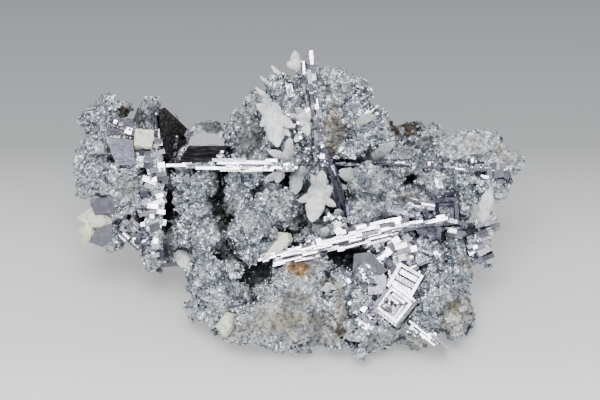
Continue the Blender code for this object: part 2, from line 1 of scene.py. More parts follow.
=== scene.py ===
"""Looks of a skeletal galena specimen: a boxwork of thin galena plates and stepped crystals,
coated with druse, with calcite blades and a little dolomite grown on it."""

import itertools
import math

import bmesh
import bpy
import numpy as np
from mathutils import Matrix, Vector


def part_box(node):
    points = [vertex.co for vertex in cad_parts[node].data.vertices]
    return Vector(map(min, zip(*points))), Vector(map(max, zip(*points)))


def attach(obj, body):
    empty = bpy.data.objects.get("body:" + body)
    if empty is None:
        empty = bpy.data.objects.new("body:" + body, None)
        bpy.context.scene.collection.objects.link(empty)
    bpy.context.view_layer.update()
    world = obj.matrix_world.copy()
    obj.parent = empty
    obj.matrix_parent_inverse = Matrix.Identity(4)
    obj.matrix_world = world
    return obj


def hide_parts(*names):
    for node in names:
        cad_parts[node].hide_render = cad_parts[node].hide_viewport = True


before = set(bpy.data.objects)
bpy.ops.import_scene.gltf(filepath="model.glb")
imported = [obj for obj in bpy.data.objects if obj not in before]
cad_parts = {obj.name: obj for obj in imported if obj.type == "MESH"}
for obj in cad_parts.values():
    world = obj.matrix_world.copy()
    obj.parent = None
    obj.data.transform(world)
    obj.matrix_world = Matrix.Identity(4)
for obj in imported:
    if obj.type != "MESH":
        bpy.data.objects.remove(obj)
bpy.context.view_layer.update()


# --- The boxwork's plates -------------------------------------------------------------------
# Galena grew as thin plates that stand square to the display face and cross in a boxwork. Each
# plate is a pack of thin sheets, broken along its bright front edge into steps.
# Places are in millimetres in the face frame: x across the display face, y up it, z out of it.

MM = 0.001
LEAN = math.radians(50)
BASE_SHIFT = np.array([0.4, -31.4, 0.0])
TIP_BACK = np.array(
    [[1, 0, 0], [0, math.cos(LEAN), math.sin(LEAN)], [0, -math.sin(LEAN), math.cos(LEAN)]]
)
rng = np.random.default_rng(11)


def to_part(points):
    """Face frame to part: turn about x by the lean, shift over the base's middle, to metres."""
    return (np.asarray(points, float) @ TIP_BACK + BASE_SHIFT) * MM


def turned_axes(turn, tilt, roll=0.0):
    """Axes of a crystal turned in the face, then tilted about its own x, then rolled about its
    own y, in radians. Rows are the crystal's x, y and z; inputs may be arrays."""
    turn, tilt, roll = np.broadcast_arrays(*map(np.atleast_1d, (turn, tilt, roll)))
    zero, one = np.zeros(turn.shape), np.ones(turn.shape)

    def matrix(*rows):
        return np.moveaxis(np.array(rows, float), -1, 0)

    c, s = np.cos(turn), np.sin(turn)
    about_z = matrix([c, s, zero], [-s, c, zero], [zero, zero, one])
    c, s = np.cos(tilt), np.sin(tilt)
    about_x = matrix([one, zero, zero], [zero, c, s], [zero, -s, c])
    c, s = np.cos(roll), np.sin(roll)
    about_y = matrix([c, zero, -s], [zero, one, zero], [s, zero, c])
    return about_y @ about_x @ about_z


BOX_CORNERS = np.array(list(itertools.product((-1, 1), repeat=3)), float)
BOX_FACES = np.array(
    [[0, 1, 3, 2], [4, 6, 7, 5], [0, 4, 5, 1], [2, 3, 7, 6], [0, 2, 6, 4], [1, 5, 7, 3]]
)


def add_object(name, data):
    """Puts a mesh, a light or a camera into the scene under its name."""
    made = bpy.data.objects.new(name, data)
    bpy.context.scene.collection.objects.link(made)
    return made


def put_values(mesh, name, values):
    """Stores one number for each point as an attribute of the mesh."""
    attribute = mesh.attributes.new(name, "FLOAT", "POINT")
    attribute.data.foreach_set("value", values.astype(np.float32))


def add_piece(name, points, faces, material, smooth=False, tones=None):
    """A new object from face-frame points and a list of faces, with a tone at each point."""
    mesh = bpy.data.meshes.new(name)
    mesh.from_pydata(to_part(points), [], faces)
    mesh.materials.append(material)
    if tones is not None:
        put_values(mesh, "tone", tones)
    if smooth:
        mesh.shade_smooth()
    return add_object(name, mesh)


def add_boxes(name, material, middles, halves, axes, slopes=0.0, tones=None):
    """Many slab-like crystals: each corner is the middle plus or minus half a side along each of
    the crystal's own axes, and its front face rises by its slopes along its own x and y."""
    corners = BOX_CORNERS * halves[:, None]
    slopes = np.broadcast_to(slopes, (len(middles), 2))
    corners[:, 1::2, 2] += (corners[:, 1::2, :2] * slopes[:, None]).sum(2)
    points = middles[:, None] + corners @ axes
    faces = np.arange(len(middles))[:, None, None] * len(BOX_CORNERS) + BOX_FACES
    if tones is not None:
        tones = np.repeat(tones, len(BOX_CORNERS))
    faces = faces.reshape(-1, 4).tolist()
    return add_piece(name, points.reshape(-1, 3), faces, material, tones=tones)


def front_slopes(axes, lift, sway):
    """Slopes that turn a crystal's front face up the display face by the angle lift and across
    it by the angle sway: the tangents, resolved along the crystal's own x and y."""
    wanted = np.stack([-np.tan(sway) + 0 * lift, -np.tan(lift), 0 * lift], axis=-1)
    return np.einsum("nij,nj->ni", axes, wanted)[:, :2]


def srgb(code):
    """A hex colour as linear RGBA."""
    parts = np.array([int(code[i : i + 2], 16) for i in (1, 3, 5)]) / 255
    linear = np.where(parts <= 0.04045, parts / 12.92, ((parts + 0.055) / 1.055) ** 2.4)
    return (*linear, 1.0)


def feed(made, inputs):
    """Gives a shader node its inputs: values, or sockets or nodes to link, where a node stands
    for its first output. Inputs go by name, or by number where several share a name."""
    for key, value in dict(inputs).items():
        if isinstance(value, bpy.types.Node):
            value = value.outputs[0]
        if isinstance(value, bpy.types.NodeSocket):
            made.id_data.links.new(value, made.inputs[key])
        else:
            made.inputs[key].default_value = value


def node(tree, kind, inputs=(), stops=(), **settings):
    """Adds a shader node, sets its fields and inputs, and for a ramp of colours its stops."""
    made = tree.nodes.new("ShaderNode" + kind)
    for key, value in settings.items():
        setattr(made, key, value)
    feed(made, inputs)
    if stops:
        points = made.color_ramp.elements
        for _ in stops[2:]:
            points.new(0.5)
        for point, (place, code) in zip(points, stops):
            point.position, point.color = place, srgb(code)
    return made


def new_material(name):
    """A new material, its node tree and its surface shader."""
    material = bpy.data.materials.new(name)
    material.use_nodes = True
    return material, material.node_tree, material.node_tree.nodes["Principled BSDF"]


# Bare galena: lead-grey metal with a lilac cast, fine growth lines and slightly dull patches.
# Scales are in cells to the metre: 420 gives patches of 2.4 mm and 1900 a grain of 0.5 mm. Real
# growth lines are too fine to show, so 380 draws them about 0.8 mm apart.
MULTIPLY = {"data_type": "RGBA", "blend_type": "MULTIPLY"}
bright_galena, tree, shader = new_material("bright_galena")
place = node(tree, "TexCoord").outputs["Object"]
tone = node(tree, "Attribute", attribute_name="tone").outputs["Fac"]
patches = node(tree, "TexNoise", {"Vector": place, "Scale": 420.0, "Detail": 4.0})
fine = node(tree, "TexNoise", {"Vector": place, "Scale": 1900.0, "Detail": 2.0})
lines = node(tree, "TexWave", {"Vector": place, "Scale": 380.0, "Distortion": 9.0, "Detail": 3.0})
stops = [(0.3, "#b4b3c0"), (0.5, "#d0cfda"), (0.68, "#f0f0f5")]
tint = node(tree, "ValToRGB", {"Fac": patches}, stops)
stops = [(0.0, "#101010"), (0.5, "#8c8a96"), (1.0, "#ffffff")]
shade = node(tree, "ValToRGB", {"Fac": tone}, stops)
tint = node(tree, "Mix", {0: 1.0, 6: tint, 7: shade}, **MULTIPLY)
dull = node(tree, "ValToRGB", {"Fac": patches}, [(0.35, "#808080"), (0.65, "#585858")])
relief = node(tree, "Bump", {"Height": fine, "Strength": 0.3, "Distance": 0.0001})
relief = node(
    tree, "Bump",
    {"Height": lines.outputs["Fac"], "Normal": relief, "Strength": 0.06, "Distance": 0.00008},
)
feed(shader, {"Base Color": tint.outputs[2], "Metallic": 0.92, "Roughness": dull, "Normal": relief})

SHEET_PITCH, LATH_LENGTH = 0.45, 3.8  # thickness of a sheet and length of a lath, common packs
LATH_PLAY = 0.42  # how far a cut between two laths strays, as a share of a lath's length
LATH_GAP = 0.04  # between a cut and the lath's end
LATH_DROP, DEEP_DROP = 0.5, 1.5  # how far laths stop short of the front: most, and the deepest
SHEET_SPREAD, SHEET_PLAY = 2.1, 0.09  # sheets lie over 2.1 half thicknesses, give or take 0.09
LOST_INSIDE, LOST_OF_TWO, LOST_OUTSIDE = 0.04, 0.12, 0.28  # share of laths that are missing
EDGE_LIFT = math.radians(14)  # how far the bright broken edges slope up the display face
PLATE_COVER = 2.6  # how far the crust stays behind a plate's front edge
# Start and end (x, y), thickness of the pack, z of its back and of its front, swing of the back
# edge along x, and the share of its edges that are broken bright, which are also painted a lighter
# tone as a painted highlight. Packs unlike the common ones add the thickness of a sheet, the length
# of a lath and how ragged the edge is, and tarnished ones the share of brightness that is left.
PLATES = [
    ((-35.6, 51.7), (-3.0, 52.0), 1.5, -27.0, 3.0, 0.0, 0.97, 0.75, 6.5, 0.25),
    ((-22.4, 53.3), (-4.5, 53.3), 1.8, -24.0, 3.6, 0.0, 0.97, 0.9, 6.0, 0.3),
    ((-20.6, 51.1), (-5.4, 51.3), 1.3, -22.0, 3.2, 0.0, 0.95, 0.65, 5.0, 0.35),
    ((-10.8, 26.2), (29.0, 35.6), 1.9, -20.0, 8.0, 0.0, 0.88, 0.65, 3.4, 0.5),
    ((-7.0, 25.3), (27.0, 33.2), 2.4, -16.0, 7.2, 0.0, 0.6, 0.6, 3.0, 0.9),
    ((12.6, 33.0), (30.6, 37.2), 2.9, -14.0, 9.0, 0.0, 0.9, 1.0, 2.8, 0.6),
    ((26.4, 34.2), (40.0, 37.4), 2.4, -16.0, 7.0, 0.0, 0.5, 0.7, 2.8, 0.8),
    ((10.6, 52.6), (31.0, 52.9), 1.0, -12.0, 1.2, 0.0, 0.12, 0.5, 2.2, 0.8, 0.9),
    ((-40.6, 66.0), (-39.0, 25.0), 1.8, -26.0, -2.0, 4.0, 0.4, 0.45, 3.8, 1.0, 0.55),
    ((-42.0, 54.0), (-40.6, 31.0), 2.0, -20.0, -3.0, 3.0, 0.45),
    ((2.6, 83.8), (5.4, 57.0), 2.1, -21.0, -2.0, 0.0, 0.3, 0.9, 2.6, 0.5),
    ((0.7, 81.2), (3.0, 60.0), 1.1, -18.0, -3.0, 0.0, 0.25, 0.6, 2.6, 0.5),
    ((4.8, 58.4), (9.4, 49.6), 3.0, -22.0, -1.0, 0.0, 0.2, 0.9, 2.6, 0.5, 0.6),
    ((8.6, 51.6), (13.4, 35.0), 3.0, -20.0, 0.0, -3.0, 0.0, 0.8, 5.0, 0.5, 0.6),
    ((15.6, 66.8), (20.2, 71.0), 0.9, -13.0, -6.4, 0.0, 0.2, 0.5, 3.0, 0.5),
    ((13.0, 68.6), (17.8, 74.0), 1.0, -13.0, -7.2, 0.0, 0.12, 0.5, 2.6, 0.6),
    ((16.2, 64.6), (21.4, 69.0), 1.1, -13.0, -6.4, 0.0, 0.12, 0.5, 2.6, 0.6),
    ((35.0, 51.6), (52.0, 51.0), 1.3, -14.0, -2.0, 0.0, 0.12),
    ((30.0, 8.6), (37.4, 2.8), 1.3, 2.0, 12.5, 0.0, 0.6),
    ((33.0, 7.4), (40.0, 2.0), 1.2, 0.0, 11.0, 0.0, 0.5),
    ((11.8, 5.8), (15.4, 2.6), 1.6, 2.0, 10.0, 0.0, 0.1, 0.5, 2.0, 0.8, 0.6),
    ((-52.8, 35.4), (-45.6, 28.6), 1.8, -12.0, -4.0, 0.0, 0.3, 0.6, 3.8, 0.9, 0.75),
    ((-49.6, 37.6), (-43.4, 31.8), 0.9, -12.0, -5.5, 0.0, 0.3, 0.45, 3.8, 0.9, 0.6),
    ((-47.6, 39.0), (-42.2, 34.0), 0.9, -12.0, -6.4, 0.0, 0.2, 0.45, 3.8, 0.9, 0.6),
    ((28.0, 22.6), (35.4, 26.0), 1.2, -2.0, 9.0, 0.0, 0.5),
]


def lie_of_edges(count, bright):
    """Lift, sway and tone of broken edges. A bright edge slopes by about the same lift as every
    other one and takes a lighter tone, a painted highlight, and a dull edge lies anyhow."""
    lit = rng.random(count) < bright
    lift = np.where(lit, rng.normal(EDGE_LIFT, 0.075, count), rng.uniform(-0.5, 0.05, count))
    sway = np.where(lit, rng.normal(0.0, 0.08, count), rng.normal(0.0, 0.25, count))
    return lift, sway, np.where(lit, rng.uniform(0.88, 1.0, count), rng.uniform(0.55, 0.92, count))


def laths(middle, half, axes, layers, pieces, bright, ragged):
    """Breaks a flat crystal into laths: it is layered across its y, and each layer is cut at
    random into pieces along its x that stop short of the front by random drops."""
    rows = []
    for layer in range(layers):
        cuts = np.linspace(-1.0, 1.0, pieces + 1) * half[0]
        cuts += rng.uniform(-LATH_PLAY, LATH_PLAY, pieces + 1) * (cuts[1] - cuts[0])
        outside = LOST_OUTSIDE if layers > 2 else LOST_OF_TWO
        kept = rng.random(pieces) > (outside if layer in (0, layers - 1) else LOST_INSIDE)
        low, high = cuts[:-1][kept], cuts[1:][kept]
        count = len(low)
        drop = np.abs(rng.normal(0.0, LATH_DROP, count)) * ragged
        drop = drop + DEEP_DROP * ragged * rng.random(count) ** 5
        across = ((layer + 0.5) / layers - 0.5) * SHEET_SPREAD * half[1]
        across = across + rng.normal(0.0, SHEET_PLAY, count)
        turn = rng.normal(0.0, 0.02, count)
        lie = np.tile(axes, (count, 1, 1))
        lie[:, 0] = np.cos(turn)[:, None] * axes[0] + np.sin(turn)[:, None] * axes[1]
        lie[:, 1] = np.cos(turn)[:, None] * axes[1] - np.sin(turn)[:, None] * axes[0]
        thick = half[1] / layers * rng.uniform(0.86, 1.08, count)
        size = np.column_stack([(high - low) / 2 - LATH_GAP, thick, half[2] - drop / 2])
        spot = middle + np.column_stack([(low + high) / 2, across, -drop / 2]) @ axes
        lift, sway, tone = lie_of_edges(count, bright)
        rows.append((spot, size, lie, front_slopes(lie, lift, sway), tone))
    return [np.concatenate(part) for part in zip(*rows)]


flat_crystals = []  # (middle, half sides, axes, depth that the crust stays below the front)
packs = []  # middles, half sides, axes, front slopes and tones of the laths, pack by pack
for start, end, thickness, back, front, swing, bright, *coarse in PLATES:
    sheet, lath, ragged, *tarnish = coarse or (SHEET_PITCH, LATH_LENGTH, 1.0)
    start, end = np.array(start), np.array(end)
    length = np.linalg.norm(end - start)
    lean_over = math.atan2(swing, front - back)
    axes = turned_axes(math.atan2(*(end - start)[::-1]), 0.0)[0]
    # the swung plate's own z leans so that its back edge is shifted along the face's x
    axes[2] = np.array([-math.sin(lean_over), 0.0, math.cos(lean_over)])
    middle = np.array([*(start + end) / 2, (front + back) / 2]) + [swing / 2, 0.0, 0.0]
    half = np.array([length, thickness, front - back]) / 2
    flat_crystals.append((middle, half, axes, PLATE_COVER))
    layers, pieces = max(2, round(thickness / sheet)), max(2, round(length / lath))
    packs.append(laths(middle, half, axes, layers, pieces, bright, ragged))
    packs[-1][4] = packs[-1][4] * (tarnish[0] if tarnish else 1.0)
plates = add_boxes("plate_sheets", bright_galena, *map(np.concatenate, zip(*packs)))
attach(plates, "root")
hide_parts("galena_skeleton")


# --- Stepped crystals -----------------------------------------------------------------------
# Blocky galena crystals sit along the plates. Each is a stack of slabs that end at different
# heights, which gives it the ribbed, stepped sides of fast growth.

RIB = 0.75  # thickness of one slab of a common stepped crystal
SLAB_LENGTH, BLOCK_LENGTH = 3.2, 1.2  # how much longer than thick a common and a blocky slab is
STEP_COVER = 1.2  # how far the crust stays behind a stepped crystal's front
# Middle (x, y, z), sides, turn in the face and tilt out of it, in degrees, bright share and, for
# the blocky crystals, the thickness of a slab.
STEPPED = [
    ((-43.6, 53.6, -3.4), (4.6, 4.8, 6.0), -3, -8, 0.05, 1.7),
    ((-40.0, 55.0, -3.0), (3.0, 3.0, 5.0), 20, 10, 0.4, 1.7),
    ((-41.2, 49.6, -2.4), (3.4, 3.4, 5.0), 8, -12, 0.5, 1.7),
    ((-39.4, 46.0, -2.0), (3.2, 3.8, 6.0), -14, 14, 0.5, 1.7),
    ((-41.6, 43.0, -2.2), (4.4, 3.6, 5.0), 10, -10, 0.4, 1.7),
    ((-39.6, 49.2, -1.6), (4.6, 5.0, 5.0), 4, 4, 0.45, 1.3),
    ((9.6, 35.0, 4.4), (4.2, 3.0, 4.0), 12, 10, 0.9, 1.3),
    ((-40.2, 39.6, -1.8), (4.6, 4.2, 6.0), -6, 6, 0.5, 1.4),
    ((-41.6, 35.2, -2.8), (4.0, 4.0, 6.0), 16, -14, 0.5, 1.7),
    ((-40.4, 31.6, -3.2), (2.6, 4.4, 6.0), -8, 10, 0.3, 1.7),
    ((-46.6, 35.2, -6.0), (5.0, 4.6, 5.0), -42, 22, 0.05),
    ((-43.8, 31.2, -6.2), (4.6, 2.8, 5.0), 24, -30, 0.05),
    ((-3.4, 51.8, 2.4), (4.2, 2.6, 5.0), 4, 6, 0.9),
    ((55.8, 50.2, -5.2), (8.4, 4.2, 6.0), 4, -16, 0.05, 1.7),
    ((53.6, 48.6, -6.4), (6.4, 2.0, 5.0), -4, 8, 0.4, 1.7),
    ((58.4, 47.2, -8.0), (3.2, 3.4, 5.0), 12, -20, 0.1, 1.7),
    ((52.4, 35.4, -5.2), (8.2, 3.8, 6.0), 16, -12, 0.35, 1.2),
    ((50.8, 32.0, -5.0), (7.8, 4.0, 6.0), 22, 6, 0.4, 1.0),
    ((50.0, 28.6, -5.8), (6.4, 4.6, 6.0), 28, -6, 0.4, 1.4),
    ((51.6, 26.6, -8.0), (5.0, 4.2, 5.0), 24, 14, 0.1, 1.4),
    ((18.4, 8.6, 10.6), (4.4, 3.2, 4.0), -34, 10, 0.6),
    ((29.6, 29.6, 5.8), (5.0, 3.0, 5.0), 14, 6, 0.3, 1.2),
    ((35.8, 27.2, 3.6), (4.4, 3.4, 5.0), -20, -18, 0.3),
    ((22.4, 27.8, 5.6), (3.8, 3.4, 5.0), 36, 8, 0.9, 1.4),
    ((39.0, 24.6, 3.0), (3.4, 3.4, 5.0), 30, 16, 0.2),
    ((43.6, 34.6, -1.4), (5.0, 5.0, 5.0), -12, 4, 0.25, 1.4),
    ((28.2, 40.4, 2.0), (5.2, 3.8, 6.0), -14, 12, 0.3),
    ((33.6, 41.0, 1.6), (6.8, 3.4, 6.0), -9, -12, 0.15),
    ((-42.6, 47.0, -2.6), (2.6, 3.4, 5.0), -18, -10, 0.5, 1.7),
    ((-39.2, 51.8, -2.0), (2.4, 3.4, 5.0), 8, 8, 0.6, 1.7),
    ((-39.6, 42.6, -1.6), (2.4, 3.0, 5.0), 20, -8, 0.5, 1.7),
    ((-42.2, 38.0, -2.4), (3.2, 3.4, 5.0), 24, 6, 0.45, 1.3),
    ((-39.4, 35.4, -2.6), (2.2, 3.8, 5.0), -12, -10, 0.4, 1.7),
    ((-41.2, 58.4, -3.4), (2.8, 4.4, 5.0), -16, 12, 0.1, 1.7),
]
packs = []
for middle, sides, turn, tilt, bright, *blocky in STEPPED:
    middle, half = np.array(middle), np.array(sides) / 2
    axes = turned_axes(math.radians(turn), math.radians(tilt))[0]
    flat_crystals.append((middle, half, axes, STEP_COVER))
    rib, longer = (blocky[0], BLOCK_LENGTH) if blocky else (RIB, SLAB_LENGTH)
    layers, pieces = max(2, round(sides[1] / rib)), max(1, round(sides[0] / (rib + longer)))
    packs.append(laths(middle, half * [0.94, 0.98, 1.0], axes, layers, pieces, bright, 0.9))


def unit(vectors):
    """Vectors divided by their lengths."""
    return vectors / np.linalg.norm(vectors, axis=-1, keepdims=True)


# Bands where small cubes of galena crowd along a plate: start, end (x, y, z), half width,
# number, smallest and largest side, turn of the band's cubes in degrees, bright share.
CUBE_BANDS = [
    ((-41.2, 58.6, -3.0), (-41.0, 26.5, -2.6), 1.8, 210, 0.5, 2.2, 6, 0.5),
    ((-52.6, 64.0, -1.6), (-46.6, 61.0, -1.2), 1.8, 36, 0.5, 1.6, -8, 0.6),
    ((-50.0, 37.4, -4.8), (-43.0, 30.6, -4.8), 2.4, 40, 0.6, 2.0, -42, 0.1),
    ((-20.0, 52.6, 2.6), (-2.4, 52.2, 4.2), 0.9, 40, 0.3, 1.1, 2, 0.9),
    ((-10.0, 27.0, 6.4), (30.0, 36.4, 7.0), 1.5, 120, 0.4, 1.5, 13, 0.5),
    ((26.0, 38.4, 3.4), (36.0, 39.4, 3.0), 1.9, 70, 0.5, 1.8, -8, 0.2),
    ((24.0, 23.4, 7.0), (39.0, 27.6, 4.4), 3.2, 120, 0.5, 2.2, 30, 0.4),
    ((18.0, 28.6, 6.0), (30.0, 30.6, 6.0), 1.5, 48, 0.6, 2.3, 20, 0.45),
    ((17.0, 7.4, 11.4), (24.0, 15.6, 12.0), 2.6, 80, 0.5, 1.8, -36, 0.5),
    ((28.6, 8.0, 11.6), (38.6, 3.4, 10.4), 1.6, 40, 0.5, 1.9, -36, 0.5),
    ((51.6, 37.0, -3.6), (50.6, 26.0, -5.6), 2.8, 26, 0.5, 1.6, 20, 0.15),
    ((52.0, 50.4, -3.6), (59.0, 47.0, -5.0), 2.0, 20, 0.5, 1.6, 4, 0.1),
    ((7.2, 38.0, 4.4), (13.0, 34.4, 5.8), 1.6, 60, 0.5, 1.6, 40, 0.85),
    ((-1.6, 55.2, -4.8), (6.6, 54.0, -5.0), 1.6, 60, 0.5, 1.6, 10, 0.8),
    ((14.6, 11.6, 10.2), (18.6, 13.4, 10.8), 1.6, 34, 0.5, 1.7, -36, 0.85),
    ((-1.2, 64.6, -1.6), (2.6, 57.0, -0.8), 1.8, 50, 0.4, 1.3, 12, 0.6),
    ((3.0, 83.6, -2.6), (5.4, 58.0, -2.2), 1.0, 80, 0.4, 1.2, -6, 0.25),
    ((5.0, 58.0, -1.6), (9.6, 49.6, -1.0), 1.5, 44, 0.4, 1.5, -25, 0.4),
    ((36.0, 52.4, -2.6), (54.0, 52.4, -3.0), 1.0, 44, 0.4, 1.4, 0, 0.4),
    ((-24.0, 55.4, -4.0), (-14.0, 54.8, -2.6), 1.0, 30, 0.4, 1.2, 8, 0.3),
    ((14.0, 19.0, 9.6), (22.0, 27.0, 8.4), 3.0, 60, 0.4, 1.6, 30, 0.4),
]
for start, end, spread, count, small, large, turn, bright in CUBE_BANDS:
    start, end = np.array(start), np.array(end)
    along = unit((end - start)[:2])
    spots = start + rng.random((count, 1)) * (end - start)
    spots[:, :2] += rng.normal(0.0, spread / 2, (count, 1)) * np.array([-along[1], along[0]])
    spots[:, 2] += rng.uniform(-1.2, 0.3, count)
    sides = small + (large - small) * rng.random((count, 1)) ** 2.4
    sizes = sides * rng.uniform(0.5, 1.25, (count, 3)) / 2 * [1.0, 1.0, 1.3]
    turns = math.radians(turn) + rng.normal(0.0, 0.2, count)
    tilts, rolls = rng.normal(0.0, 0.16, count), rng.normal(0.0, 0.16, count)
    axes = turned_axes(turns, tilts, rolls)
    lift, sway, tone = lie_of_edges(count, bright)
    packs.append((spots, sizes, axes, front_slopes(axes, lift, sway), tone))
stepped = add_boxes("stepped_crystals", bright_galena, *map(np.concatenate, zip(*packs)))
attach(stepped, "root")
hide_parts("galena_skeleton")


# --- Growth faces ---------------------------------------------------------------------------
# A few larger galena faces lie open in the display face. They carry low growth terraces, each a
# smaller copy of the face's outline. Three of them are striated and painted nearly black, a painted
# shade for faces that lie in shadow.

# Outline of (x, y) points, level of its middle, slopes of z along x and y, thickness, tone.
FACES = [
    (
        [(-54.0, 60.4), (-46.8, 59.4), (-46.2, 52.6), (-51.0, 52.2), (-53.0, 55.8)],
        -0.6, 0.05, -0.1, 5.0, 0.17,
    ),
    ([(-53.4, 66.0), (-46.8, 65.4), (-46.6, 60.6), (-54.4, 60.8)], -2.0, 0.1, -0.4, 5.0, 0.2),
    ([(-59.2, 42.8), (-52.4, 43.4), (-52.0, 39.0), (-57.6, 38.4)], -2.4, 0.2, 0.1, 5.0, 0.7),
    (
        [(-59.6, 30.8), (-57.4, 34.4), (-53.0, 36.0), (-52.8, 31.4), (-55.6, 29.2)],
        -4.8, 0.1, 0.3, 4.0, 0.85,
    ),
    (
        [(-31.6, 57.2), (-31.0, 60.0), (-28.0, 61.6), (-24.0, 61.2), (-21.4, 59.8), (-21.2, 57.2)],
        -4.6, 0.0, -0.45, 5.0, 0.8,
    ),
    ([(32.2, 34.4), (39.6, 35.0), (39.2, 29.6), (35.6, 29.0)], 1.6, 0.1, 0.7, 6.0, 0.75),
    (
        [(15.0, 27.6), (19.6, 28.2), (24.2, 23.0), (20.6, 20.4), (14.4, 21.0)],
        8.4, 0.3, 0.25, 5.0, 0.85,
    ),
    ([(18.6, 22.0), (24.0, 21.6), (23.6, 16.6), (19.0, 16.4)], 9.4, 0.2, -0.3, 5.0, 0.45),
]
SHADED_FACES = [
    (
        [(-39.6, 68.0), (-38.0, 68.6), (-31.8, 62.6), (-36.4, 52.4), (-39.2, 56.0)],
        -7.0, -1.5, 0.2, 3.5, 0.5,
    ),
    ([(-34.4, 61.0), (-31.0, 60.0), (-31.6, 54.6), (-35.4, 52.6)], -10.5, -0.7, 0.5, 4.0, 0.4),
    ([(-35.0, 51.9), (-31.4, 57.8), (-21.0, 57.8), (-20.4, 53.4)], -4.8, 0.0, 0.8, 5.0, 0.4),
]
TERRACE_RISE = 0.10  # height of one terrace


def terraced_face(outline, level, slope_x, slope_y, thickness, terraces):
    """A prism whose front rises in low steps: ring k is the outline drawn in towards a corner
    by a share of k, on its sloping plane plus k rises. Returns points and faces."""
    flat = np.array(outline)
    ahead = np.roll(flat, -1, axis=0)
    if (flat[:, 0] * ahead[:, 1] - flat[:, 1] * ahead[:, 0]).sum() < 0:
        flat = flat[::-1]
    corners, focus = len(flat), flat.mean(0) * 0.55 + flat[0] * 0.45
    rings = []
    for k in range(terraces + 1):
        ring = flat + (focus - flat) * k / (terraces + 1.5)
        height = level + (ring - flat.mean(0)) @ [slope_x, slope_y]
        foot = height - thickness if k == 0 else height + (k - 1) * TERRACE_RISE
        rings += [np.column_stack([ring, foot]), np.column_stack([ring, height + k * TERRACE_RISE])]
    i, k = np.meshgrid(np.arange(corners), np.arange(len(rings) - 1))
    j = (i + 1) % corners
    low, high = k * corners, (k + 1) * corners
    sides = np.stack([low + i, low + j, high + j, high + i], axis=-1)
    back = list(range(corners))[::-1]
    front = list(range((len(rings) - 1) * corners, len(rings) * corners))
    return np.concatenate(rings), sides.reshape(-1, 4).tolist() + [back, front]


def add_faces(name, rows, terraces, material):
    """Several terraced faces in one mesh, each with its own tone."""
    points, faces, tones = [], [], []
    for *row, tone in rows:
        ring_points, ring_faces = terraced_face(*row, terraces)
        count = sum(len(part) for part in points)
        faces += [[count + i for i in face] for face in ring_faces]
        points.append(ring_points)
        tones.append(np.full(len(ring_points), tone))
    piece = add_piece(name, np.concatenate(points), faces, material, tones=np.concatenate(tones))
    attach(piece, "root")
    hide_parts("galena_skeleton")


# Striated galena painted nearly black, a painted shade for faces that lie in shadow, with brighter
# scuffs along the striations: streaks 0.7 mm across and 4 mm long, coarser than the real ones so
# that they show.
shaded_galena, tree, shader = new_material("shaded_galena")
place = node(tree, "TexCoord").outputs["Object"]
tone = node(tree, "Attribute", attribute_name="tone").outputs["Fac"]
stretched = node(tree, "Mapping", {"Vector": place, "Scale": (260.0, 1400.0, 1400.0)})
streaks = node(tree, "TexNoise", {"Vector": stretched, "Scale": 1.0, "Detail": 4.0})
stops = [(0.34, "#5c5246"), (0.5, "#8a8880"), (0.64, "#e6e6e8")]
tint = node(tree, "ValToRGB", {"Fac": streaks}, stops)
stops = [(0.0, "#101010"), (0.5, "#77757a"), (1.0, "#ffffff")]
shade = node(tree, "ValToRGB", {"Fac": tone}, stops)
tint = node(tree, "Mix", {0: 1.0, 6: tint, 7: shade}, **MULTIPLY)
relief = node(tree, "Bump", {"Height": streaks, "Strength": 0.6, "Distance": 0.0003})
feed(shader, {"Base Color": tint.outputs[2], "Metallic": 0.75, "Roughness": 0.42, "Normal": relief})

add_faces("growth_faces", FACES, 5, bright_galena)
add_faces("shaded_faces", SHADED_FACES, 1, shaded_galena)
flat_faces = [row[:-1] for row in FACES + SHADED_FACES]


# --- Hopper crystals ------------------------------------------------------------------------
# Hopper crystals grew faster along their edges than in the middle of their faces, so square
# frames of galena step down, one inside the other, into an open middle. Two have slats across.

